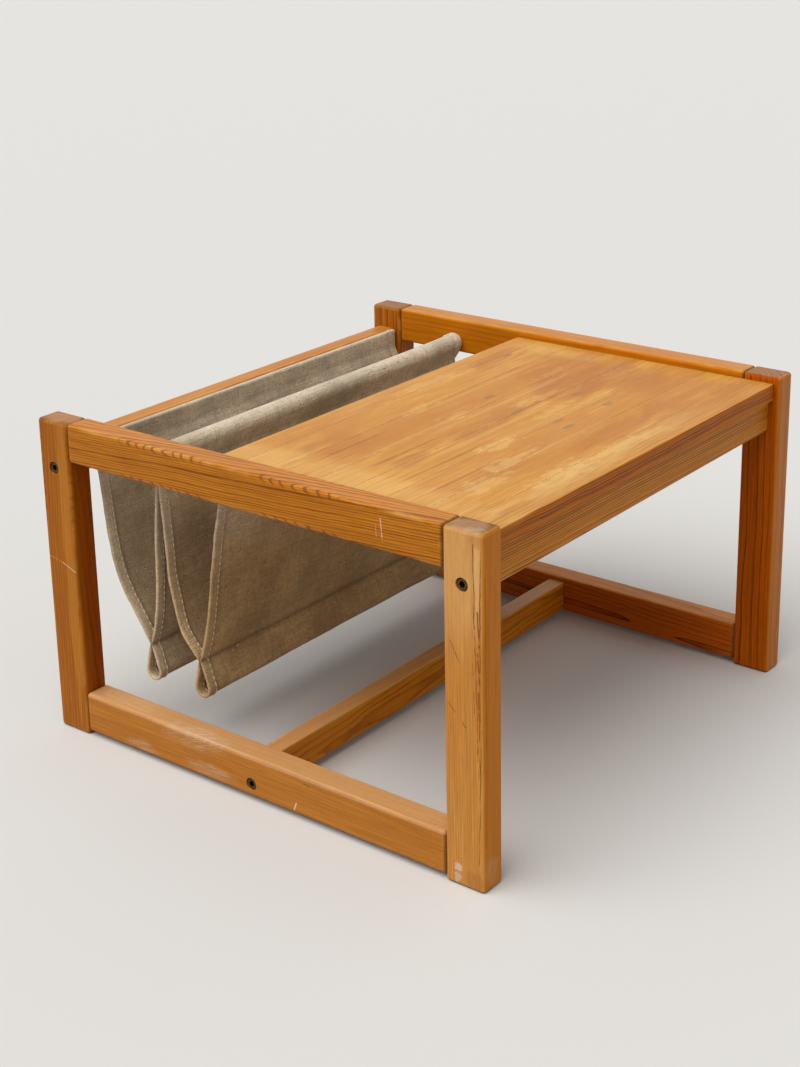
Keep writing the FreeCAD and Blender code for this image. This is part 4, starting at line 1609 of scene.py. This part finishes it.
    def fold(self, face: float, outward: float) -> np.ndarray:
        """Hem against the wood, the fold over the strip and the fall in front of it.

        Args:
            face: where the wood's face lies.
            outward: 1 where the cloth lies beyond the face, -1 where it lies before it.

        Returns:
            Points from the hem to the foot of the fall.
        """
        half = self.thickness / 2
        middle = self.pad_depth / 2
        radius = middle - half
        level = self.top_level - self.below_rail_top - middle
        foot = level - self.strip_height
        angles = np.linspace(math.pi, 0.0, self.fold_samples)
        crown = np.stack([middle + radius * np.cos(angles), level + radius * np.sin(angles)], axis=1)
        run = np.vstack([[half, foot - self.hem_below_strip], crown, [self.pad_depth - half, foot]])
        run[:, 0] = face + outward * run[:, 0]
        return run

    def smooth(self, points: Sequence[np.ndarray]) -> np.ndarray:
        """Smooth line through points, with an even share of samples between each pair.

        Args:
            points: places that the line goes through.

        Returns:
            Points along the line.
        """
        knots = np.array(points)
        padded = np.vstack([2 * knots[0] - knots[1], knots, 2 * knots[-1] - knots[-2]])
        t = np.linspace(0.0, 1.0, self.wall_samples, endpoint=False)[:, None]
        runs = []
        for a, b, c, d in zip(padded, padded[1:], padded[2:], padded[3:]):
            runs.append(0.5 * (2 * b + (c - a) * t + (2 * a - 5 * b + 4 * c - d) * t ** 2
                               + (3 * b - a - 3 * c + d) * t ** 3))
        return np.vstack([*runs, knots[-1:]])

    @staticmethod
    def resample(points: np.ndarray, step: float) -> np.ndarray:
        """Points at an even pitch along a line.

        Args:
            points: points along the line.
            step: the pitch that is wanted.

        Returns:
            The even points, with both ends kept.
        """
        lengths = run_lengths(points)
        count = max(int(round(lengths[-1] / step)), 2)
        places = np.linspace(0.0, lengths[-1], count + 1)
        return np.stack([np.interp(places, lengths, points[:, axis]) for axis in (0, 1)], axis=1)

    def stretches(self) -> list[tuple[Stretch, np.ndarray]]:
        """Stretches of the sling's middle line, from the hem at the rack rail to the hem at the cleat.

        Returns:
            Each stretch with its points.
        """
        beside = np.array([self.thickness / 2 + self.seam_gap, 0.0])
        neck_level = self.top_level - self.neck_drop
        first_x = self.rail_face + self.first_neck_share * (self.rod_x - self.rail_face)
        second_x = self.rod_x + self.second_neck_share * (self.cleat_face - self.rod_x)
        first_neck = np.array([first_x, neck_level])
        second_neck = np.array([second_x, neck_level])
        seam = np.array([self.rod_x, self.rod_z - self.seam_below_rod])
        rod = np.array([self.rod_x, self.rod_z])
        rack_fold = self.fold(self.rail_face, 1.0)
        top_fold = self.fold(self.cleat_face, -1.0)[::-1]
        sleeve_radius = self.rod_radius + self.sleeve_clearance + self.thickness / 2
        drop = np.array([self.tunnel_lean, self.tunnel_radius - self.tunnel_height])
        outer = (self.rail_face, self.rod_x)
        inner = (self.rod_x, self.cleat_face)

        def wall(start: np.ndarray, end: np.ndarray, pocket: Span, shares: Sequence[Span]) -> np.ndarray:
            """Smooth wall of a pocket between two held points."""
            return self.smooth([start, *self.wall_points(*pocket, shares), end])

        def tunnel(neck: np.ndarray) -> np.ndarray:
            """Loop that hangs from a neck."""
            return self.loop(neck - beside, neck + beside, neck, neck + drop, self.tunnel_radius)

        return [
            (Stretch.FOLD, rack_fold),
            (Stretch.WALL, wall(rack_fold[-1], first_neck - beside, outer, self.first_wall_shares)),
            (Stretch.TUNNEL, tunnel(first_neck)),
            (Stretch.WALL, wall(first_neck + beside, seam - beside, outer, self.second_wall_shares)),
            (Stretch.SLEEVE, self.loop(seam - beside, seam + beside, seam, rod, sleeve_radius)),
            (Stretch.WALL, wall(seam + beside, second_neck - beside, inner, self.third_wall_shares)),
            (Stretch.TUNNEL, tunnel(second_neck)),
            (Stretch.WALL, wall(second_neck + beside, top_fold[0], inner, self.fourth_wall_shares)),
            (Stretch.FOLD, top_fold),
        ]

    def line(self) -> ClothLine:
        """Middle line of the sling from hem to hem.

        Returns:
            The line, sampled closely in its bends and more widely in its walls.
        """
        runs = self.stretches()
        points, kinds, shares, necks = [], [], [], []
        for index, (kind, run) in enumerate(runs):
            even = self.resample(run, self.wall_step if kind is Stretch.WALL else self.bend_step)
            even = even if index == len(runs) - 1 else even[:-1]
            if index:
                necks.append(len(points))
            points.extend(even)
            kinds.extend([kind.value] * len(even))
            shares.extend(np.linspace(0.0, 1.0, len(even)))
        return ClothLine(np.array(points), np.array(kinds), np.array(shares), necks)

    def columns(self) -> np.ndarray:
        """Distances of the cloth's columns from its near edge: close in the hems, wide between them.

        Returns:
            The distances, from 0 to the cloth's width.
        """
        hem = np.array(self.hem_columns)
        width = self.far - self.near
        inner = width - 2 * hem[-1]
        middle = hem[-1] + np.linspace(0.0, inner, int(inner / self.column_step) + 1)[1:-1]
        return np.concatenate([hem, middle, width - hem[::-1]])

    @staticmethod
    def inset(across: np.ndarray) -> np.ndarray:
        """Distance of each column from the nearer edge."""
        return np.minimum(across, across[-1] - across)

    def in_hem(self, inset: np.ndarray) -> np.ndarray:
        """1 for the columns in a hem, 0 for those between the hems."""
        return 0.5 - 0.5 * np.tanh((inset - self.hem_width) / self.hem_edge)

    def depth(self, line: ClothLine, inset: np.ndarray) -> np.ndarray:
        """Half the cloth's thickness, swollen in the hems and drawn in by their stitches.

        Args:
            line: the cloth seen end on.
            inset: distance of each column from the nearer edge.

        Returns:
            Half thickness for every row and column.
        """
        rim = np.clip(inset / self.rim_round, 0.0, 1.0)
        roundness = np.sqrt(1.0 - (1.0 - rim) ** 2)
        hem = self.in_hem(inset)
        groove = np.exp(-((inset - self.stitch_inset) / self.groove_width) ** 2)
        swell = self.hem_swell * (hem - self.groove_depth * groove * hem)
        free = np.ones(len(line.lengths))
        for index in line.necks:
            away = np.abs(line.lengths - line.lengths[index])
            free = np.minimum(free, np.clip((away - self.seam_flat) / self.seam_rise, 0.0, 1.0))
        free[line.within(Stretch.FOLD)] = 0.0
        free[line.within(Stretch.SLEEVE)] *= self.sleeve_hem
        free *= np.array([self.hem_evenness + self.hem_ripple.at(length) for length in line.lengths])
        return (self.thickness / 2 + free[:, None] * swell[None, :]) * roundness[None, :]

    def slack(self, line: ClothLine) -> np.ndarray:
        """How freely each row of the cloth can move, from near 0 where it is sewn or held to about 1."""
        wave = np.sin(math.pi * np.clip(line.shares, 0.0, 1.0)) ** self.slack_shape
        return wave * np.array(self.freedom)[line.kinds] + self.least_slack

    def drape(self, line: ClothLine, across: np.ndarray) -> np.ndarray:
        """Sideways movement of the cloth: broad sway, soft creases and puckers beside the seams.

        Args:
            line: the cloth seen end on.
            across: distance of each column from the near edge.

        Returns:
            Movement along the normal for every row and column.
        """
        slack = self.slack(line)
        hold = 1.0 - self.hem_hold * np.exp(-self.inset(across) / self.hold_reach)
        flare = self.sleeve_flare * np.exp(-(across[-1] - across) / self.flare_reach)
        on_rod = line.within(Stretch.SLEEVE)
        seams = line.lengths[line.necks]
        moves = np.zeros((len(line.lengths), len(across)))
        for row, length in enumerate(line.lengths):
            seam_gap = float(np.min(np.abs(seams - length)))
            pucker = math.exp(-seam_gap / self.pucker_reach) * min(slack[row] * self.pucker_slack, 1.0)
            lift = math.sin(math.pi * line.shares[row])
            for column, y in enumerate(across):
                loose = sum(ripple.at(length, y) for ripple in self.sway)
                move = slack[row] * hold[column] * loose + pucker * self.pucker.at(length, y)
                if on_rod[row]:
                    move += flare[column] * lift * (1.0 + self.flare_ripple.at(length, y))
                moves[row, column] = move
        return moves

    def spread(self, line: ClothLine, across: np.ndarray) -> np.ndarray:
        """Places of the columns along Y, with uneven edges and a sleeve that reaches out at the far end.

        Args:
            line: the cloth seen end on.
            across: distance of each column from the near edge.

        Returns:
            The place for every row and column.
        """
        width = across[-1]
        edge = np.array([sum(ripple.at(length) for ripple in self.edge_ripples) for length in line.lengths])
        inward = np.exp(-self.inset(across) / self.edge_reach) * np.sign(width / 2 - across)
        far_end = np.exp(-(width - across) / self.edge_reach)
        sleeve = line.within(Stretch.SLEEVE)[:, None] * far_end[None, :]
        return self.near + across[None, :] + edge[:, None] * inward[None, :] + self.sleeve_reach * sleeve

    def cloth(self, line: ClothLine) -> tuple[bpy.types.Object, np.ndarray, np.ndarray]:
        """The canvas as one closed sheet.

        Args:
            line: the cloth seen end on.

        Returns:
            The piece, and the places of its two sides by row and column.
        """
        across = self.columns()
        half = self.depth(line, self.inset(across))
        moves = self.drape(line, across)
        clear = np.maximum(moves, -self.sleeve_clearance / 2) + np.maximum(half - self.thickness / 2, 0.0)
        moves = np.where(line.within(Stretch.SLEEVE)[:, None], clear, moves)
        middle = line.points[:, None, :] + moves[:, :, None] * line.normals[:, None, :]
        run = self.spread(line, across)
        sides = []
        for sign in (1.0, -1.0):
            flat = middle + sign * half[:, :, None] * line.normals[:, None, :]
            sides.append(np.stack([flat[:, :, 0], run, flat[:, :, 1]], axis=2))
        verts = np.vstack([sides[0].reshape(-1, 3), sides[1][:, 1:-1].reshape(-1, 3)])
        piece = new_piece("canvas_cloth", verts, self.faces(*half.shape), self.linen.material("linen_canvas"))
        self.map_cloth(piece, line, across)
        return piece, sides[0], sides[1]

    @staticmethod
    def faces(rows: int, count: int) -> list[tuple[int, ...]]:
        """Faces of a closed sheet whose two sides share their edge columns.

        Args:
            rows: rows of corners.
            count: corners in a row.

        Returns:
            Indices of the corners of each face.
        """
        upper = np.arange(rows * count).reshape(rows, count)
        inner = np.arange(rows * (count - 2)).reshape(rows, count - 2) + rows * count
        under = np.concatenate([upper[:, :1], inner, upper[:, -1:]], axis=1)
        faces: list[tuple[int, ...]] = []
        for grid, flip in ((upper, False), (under, True)):
            corners = [grid[:-1, :-1], grid[:-1, 1:], grid[1:, 1:], grid[1:, :-1]]
            quads = np.stack(corners, axis=2).reshape(-1, 4)
            faces.extend(map(tuple, (quads[:, ::-1] if flip else quads).tolist()))
        for row, flip in ((0, True), (rows - 1, False)):
            for column in range(count - 1):
                beyond = column + 1
                ring = (upper[row, column], upper[row, beyond], under[row, beyond], under[row, column])
                ring = tuple(dict.fromkeys(int(index) for index in ring))
                faces.append(ring[::-1] if flip else ring)
        return faces

    def worn(self, line: ClothLine, inset: np.ndarray) -> np.ndarray:
        """How pale the cloth is rubbed: at its edges, hems, folds and over the rod.

        Args:
            line: the cloth seen end on.
            inset: distance of each column from the nearer edge.

        Returns:
            The amount for every row and column.
        """
        levels = line.points[:, 1]
        patchy = np.array([self.worn_mean + self.worn_ripple.at(length) for length in line.lengths])
        from_stitch = inset - self.stitch_inset + self.stitch_worn_shift
        hems = (self.edge_worn * np.exp(-(inset / self.edge_worn_reach) ** 2)
                + self.stitch_worn * np.exp(-(from_stitch / self.stitch_worn_reach) ** 2))
        crest = np.exp(-((levels - levels.max()) / self.sleeve_worn_reach) ** 2) * line.within(Stretch.SLEEVE)
        above = levels - (self.top_level - self.fold_worn_below)
        fold_top = np.clip(above / self.fold_worn_rise, 0.0, 1.0) * line.within(Stretch.FOLD)
        tops = self.fold_worn * fold_top + self.sleeve_worn * crest
        return patchy[:, None] * hems[None, :] + tops[:, None] + self.hem_worn * self.in_hem(inset)[None, :]

    def painted_shade(self, line: ClothLine, inset: np.ndarray) -> np.ndarray:
        """How much painted shade darkens the cloth: in the creases at its seams and beside the hems.

        Args:
            line: the cloth seen end on.
            inset: distance of each column from the nearer edge.

        Returns:
            The amount for every row and column.
        """
        # Painted shade in the creases along the seams, deepest at the tunnels
        seams = np.zeros(len(line.lengths))
        for index in line.necks:
            at_tunnel = Stretch.TUNNEL.value in line.kinds[index - 1:index + 1]
            away = line.lengths - line.lengths[index]
            soil_and_shade = self.tunnel_crease_shade if at_tunnel else self.seam_crease_shade
            seams += soil_and_shade * np.exp(-(away / self.crease_shade_reach) ** 2)
        # Painted shadow in the step beside each hem
        from_hem = inset - self.hem_width - self.hem_shadow_shift
        beside = self.hem_shadow * np.exp(-(from_hem / self.hem_shadow_reach) ** 2)
        return seams[:, None] + beside[None, :]

    def map_cloth(self, piece: bpy.types.Object, line: ClothLine, across: np.ndarray) -> None:
        """Lays the cloth's own lengths over its mesh, and where it is worn and where painted shade darkens it.

        Args:
            piece: the cloth.
            line: the cloth seen end on.
            across: distance of each column from the near edge.
        """
        inset = self.inset(across)
        worn = self.worn(line, inset)
        painted_shade = self.painted_shade(line, inset)
        # Painted shade low on the pocket side of the walls, kept off the hems
        below = self.top_level - self.pocket_shade_below - line.points[:, 1]
        shaded = np.clip(below / self.pocket_shade_fall, 0.0, 1.0) * line.within(Stretch.WALL)
        pocket_side_shade = painted_shade + self.pocket_shade * shaded[:, None] * (1.0 - self.in_hem(inset)[None, :])
        u = np.broadcast_to(across[None, :], worn.shape)
        v = np.broadcast_to(line.lengths[:, None], worn.shape)
        mesh = piece.data

        def both(pocket: np.ndarray, outer: np.ndarray) -> np.ndarray:
            """Values for the pocket side of the sheet and for its outer side."""
            return np.concatenate([pocket.reshape(-1), outer[:, 1:-1].reshape(-1)])

        # Painted shade goes into the second layer, deeper on the pocket side of the sheet
        for name, sides in (("worn", (worn, worn)), ("painted_shade", (pocket_side_shade, painted_shade))):
            layer = mesh.attributes.new(name, "FLOAT", "POINT")
            layer.data.foreach_set("value", np.clip(both(*sides), 0.0, 1.0).astype(np.float32))
        owners = np.zeros(len(mesh.loops), dtype=np.int32)
        mesh.loops.foreach_get("vertex_index", owners)
        places = np.stack([both(u, u)[owners], both(v, v)[owners]], axis=1).astype(np.float32)
        mesh.uv_layers.new(name="cloth").data.foreach_set("uv", places.reshape(-1))

    def stitching(self, upper: np.ndarray, under: np.ndarray) -> bpy.types.Object:
        """Rows of stitches in both hems, as one piece.

        Args:
            upper: places of the cloth's upper side by row and column.
            under: places of its other side.

        Returns:
            The piece.
        """
        across = self.columns()
        verts: list[np.ndarray] = []
        faces: list[tuple[int, ...]] = []
        for side, other in ((upper, under), (under, upper)):
            for inset in (self.stitch_inset, across[-1] - self.stitch_inset):
                column = int(np.argmin(np.abs(across - inset)))
                self.sew(side[:, column], other[:, column], verts, faces)
        return new_piece("canvas_stitching", np.vstack(verts), faces, self.thread.material("sewing_thread"))

    def sew(self, track: np.ndarray, other: np.ndarray, verts: list[np.ndarray],
            faces: list[tuple[int, ...]]) -> None:
        """Adds stitches along a row of places on the cloth.

        Args:
            track: places on this side.
            other: the same places on the other side, which tell the outward way.
            verts: list that takes the stitches' corners.
            faces: list that takes their faces.
        """
        lengths = run_lengths(track)

        def at(place: float, grid: np.ndarray) -> np.ndarray:
            """Point at a length along a row."""
            return np.array([np.interp(place, lengths, grid[:, axis]) for axis in range(3)])

        for number in range(int(lengths[-1] / self.stitch_pitch)):
            place = (number + 0.5) * self.stitch_pitch
            centre = at(place, track)
            way = self.unit(at(place + self.stitch_probe, track) - at(place - self.stitch_probe, track))
            out = centre - at(place, other)
            out = self.unit(out - way * np.dot(out, way))
            faces.extend(self.stitch_faces(sum(len(block) for block in verts)))
            verts.append(self.stitch(centre, way, out))

    @staticmethod
    def unit(vector: np.ndarray) -> np.ndarray:
        """The vector at a length of 1; one of no length stays."""
        return vector / max(np.linalg.norm(vector), TINY)

    def stitch(self, centre: np.ndarray, way: np.ndarray, out: np.ndarray) -> np.ndarray:
        """Corners of one stitch, ring by ring.

        Args:
            centre: its middle, on the cloth.
            way: the way that it runs.
            out: the way out of the cloth.

        Returns:
            The corners.
        """
        angles = np.linspace(0.0, math.tau, self.stitch_spokes, endpoint=False)
        spokes = np.cos(angles)[:, None] * np.cross(way, out) + np.sin(angles)[:, None] * out
        rings = []
        for place, share, lift in self.stitch_profile:
            middle = centre + way * place * self.stitch_length + out * lift * self.stitch_radius
            rings.append(middle + share * self.stitch_radius * spokes)
        return np.vstack(rings)

    def stitch_faces(self, base: int) -> list[tuple[int, ...]]:
        """Faces of one stitch, closed at both ends.

        Args:
            base: index of its first corner.

        Returns:
            Indices of the corners of each face.
        """
        spokes, last = self.stitch_spokes, len(self.stitch_profile) - 1
        faces: list[tuple[int, ...]] = []
        for ring in range(last):
            for spoke in range(spokes):
                a = base + ring * spokes + spoke
                b = base + ring * spokes + (spoke + 1) % spokes
                faces.append((a, b, b + spokes, a + spokes))
        faces.append(tuple(base + spoke for spoke in reversed(range(spokes))))
        faces.append(tuple(base + last * spokes + spoke for spoke in range(spokes)))
        return faces


def new_piece(name: str, verts: np.ndarray, faces: Sequence[tuple[int, ...]],
              material: bpy.types.Material) -> bpy.types.Object:
    """Smooth-shaded mesh piece with one material.

    Args:
        name: the piece's name.
        verts: its corners.
        faces: indices of the corners of each face.
        material: its finish.

    Returns:
        The piece, linked to the scene.
    """
    mesh = bpy.data.meshes.new(name)
    mesh.from_pydata(verts.tolist(), [], [tuple(face) for face in faces])
    mesh.polygons.foreach_set("use_smooth", [True] * len(mesh.polygons))
    mesh.materials.append(material)
    mesh.update()
    piece = bpy.data.objects.new(name, mesh)
    bpy.context.scene.collection.objects.link(piece)
    log.info("made %s: %d faces", name, len(mesh.polygons))
    return piece


@dataclass
class Studio:
    """Pale floor, soft light and the camera."""

    floor_half: float = 14.0
    floor_tone: str = "DCDAD6"
    floor_bounce: str = "A39F99"
    floor_roughness: float = 0.8
    floor_gloss: float = 0.2
    sky: tuple[float, ...] = (1.0, 1.0, 1.0, 1.0)
    fill: float = 0.44
    key_strength: float = 2.3
    key_spread: float = math.radians(60.0)
    key_from: Triple = (-0.28, -1.20, 2.2)
    camera_place: Triple = (1.1491, -1.5045, 0.9584)
    camera_aim: Triple = (-0.0204, 0.0, 0.3570)
    camera_roll: float = math.radians(-0.989)
    lens: float = 61.33
    sensor: float = 36.0
    shift: Span = (-0.01, -0.13)

    def build(self) -> None:
        """Sets the stage."""
        self.floor()
        self.world()
        self.key()
        self.camera()
        bpy.context.scene.view_settings.view_transform = "Standard"

    def floor(self) -> None:
        """Wide pale floor under the legs, which throws back less light than it shows."""
        shade = Shade("pale_floor")
        path = shade.add("ShaderNodeLightPath")
        seen: Value = 0.0
        for name in ("Is Camera Ray", "Is Glossy Ray", "Is Transmission Ray"):
            seen = shade.math("MAXIMUM", Signal(shade, path.outputs[name]), seen)
        colour = shade.mix(seen, paint(self.floor_bounce), paint(self.floor_tone))
        shade.set(Base_Color=colour, Roughness=self.floor_roughness, Specular_IOR_Level=self.floor_gloss)
        reach = self.floor_half
        corners = [(-reach, -reach, 0.0), (reach, -reach, 0.0), (reach, reach, 0.0), (-reach, reach, 0.0)]
        new_piece("studio_floor", np.array(corners), [(0, 1, 2, 3)], shade.material)

    def world(self) -> None:
        """Even fill light, seen as white by the camera and in reflections."""
        world = bpy.data.worlds.new("studio")
        bpy.context.scene.world = world
        world.use_nodes = True
        nodes, links = world.node_tree.nodes, world.node_tree.links
        background = next(node for node in nodes if node.type == "BACKGROUND")
        background.inputs["Color"].default_value = self.sky
        path = nodes.new("ShaderNodeLightPath")
        total = path.outputs["Is Camera Ray"]
        for name in ("Is Glossy Ray", "Is Transmission Ray"):
            join = nodes.new("ShaderNodeMath")
            join.operation = "MAXIMUM"
            links.new(total, join.inputs[0])
            links.new(path.outputs[name], join.inputs[1])
            total = join.outputs[0]
        level = nodes.new("ShaderNodeMapRange")
        links.new(total, level.inputs["Value"])
        level.inputs["To Min"].default_value = self.fill
        level.inputs["To Max"].default_value = 1.0
        links.new(level.outputs["Result"], background.inputs["Strength"])

    def key(self) -> None:
        """Broad daylight from above the rack side."""
        lamp = bpy.data.lights.new("key_light", "SUN")
        lamp.energy = self.key_strength
        lamp.angle = self.key_spread
        piece = bpy.data.objects.new("key_light", lamp)
        piece.rotation_mode = "QUATERNION"
        piece.rotation_quaternion = Vector(self.key_from).to_track_quat("Z", "Y")
        bpy.context.scene.collection.objects.link(piece)

    def camera(self) -> None:
        """Camera at the photograph's angle."""
        data = bpy.data.cameras.new("camera")
        data.lens = self.lens
        data.sensor_width = self.sensor
        data.shift_x, data.shift_y = self.shift
        piece = bpy.data.objects.new("camera", data)
        piece.location = self.camera_place
        aim = Vector(self.camera_aim) - Vector(self.camera_place)
        piece.rotation_mode = "QUATERNION"
        roll = Quaternion((0.0, 0.0, 1.0), self.camera_roll)
        piece.rotation_quaternion = aim.to_track_quat("-Z", "Y") @ roll
        bpy.context.scene.collection.objects.link(piece)
        bpy.context.scene.camera = piece


def main() -> None:
    """Builds every sub-assembly, then the studio."""
    logging.basicConfig(level=logging.INFO, format="%(message)s")
    for assembly in (EndFrames(), CrossMembers(), BoardTop(), Fasteners()):
        assembly.dress()
    CanvasRack().build()
    Studio().build()


if __name__ == "__main__":
    main()
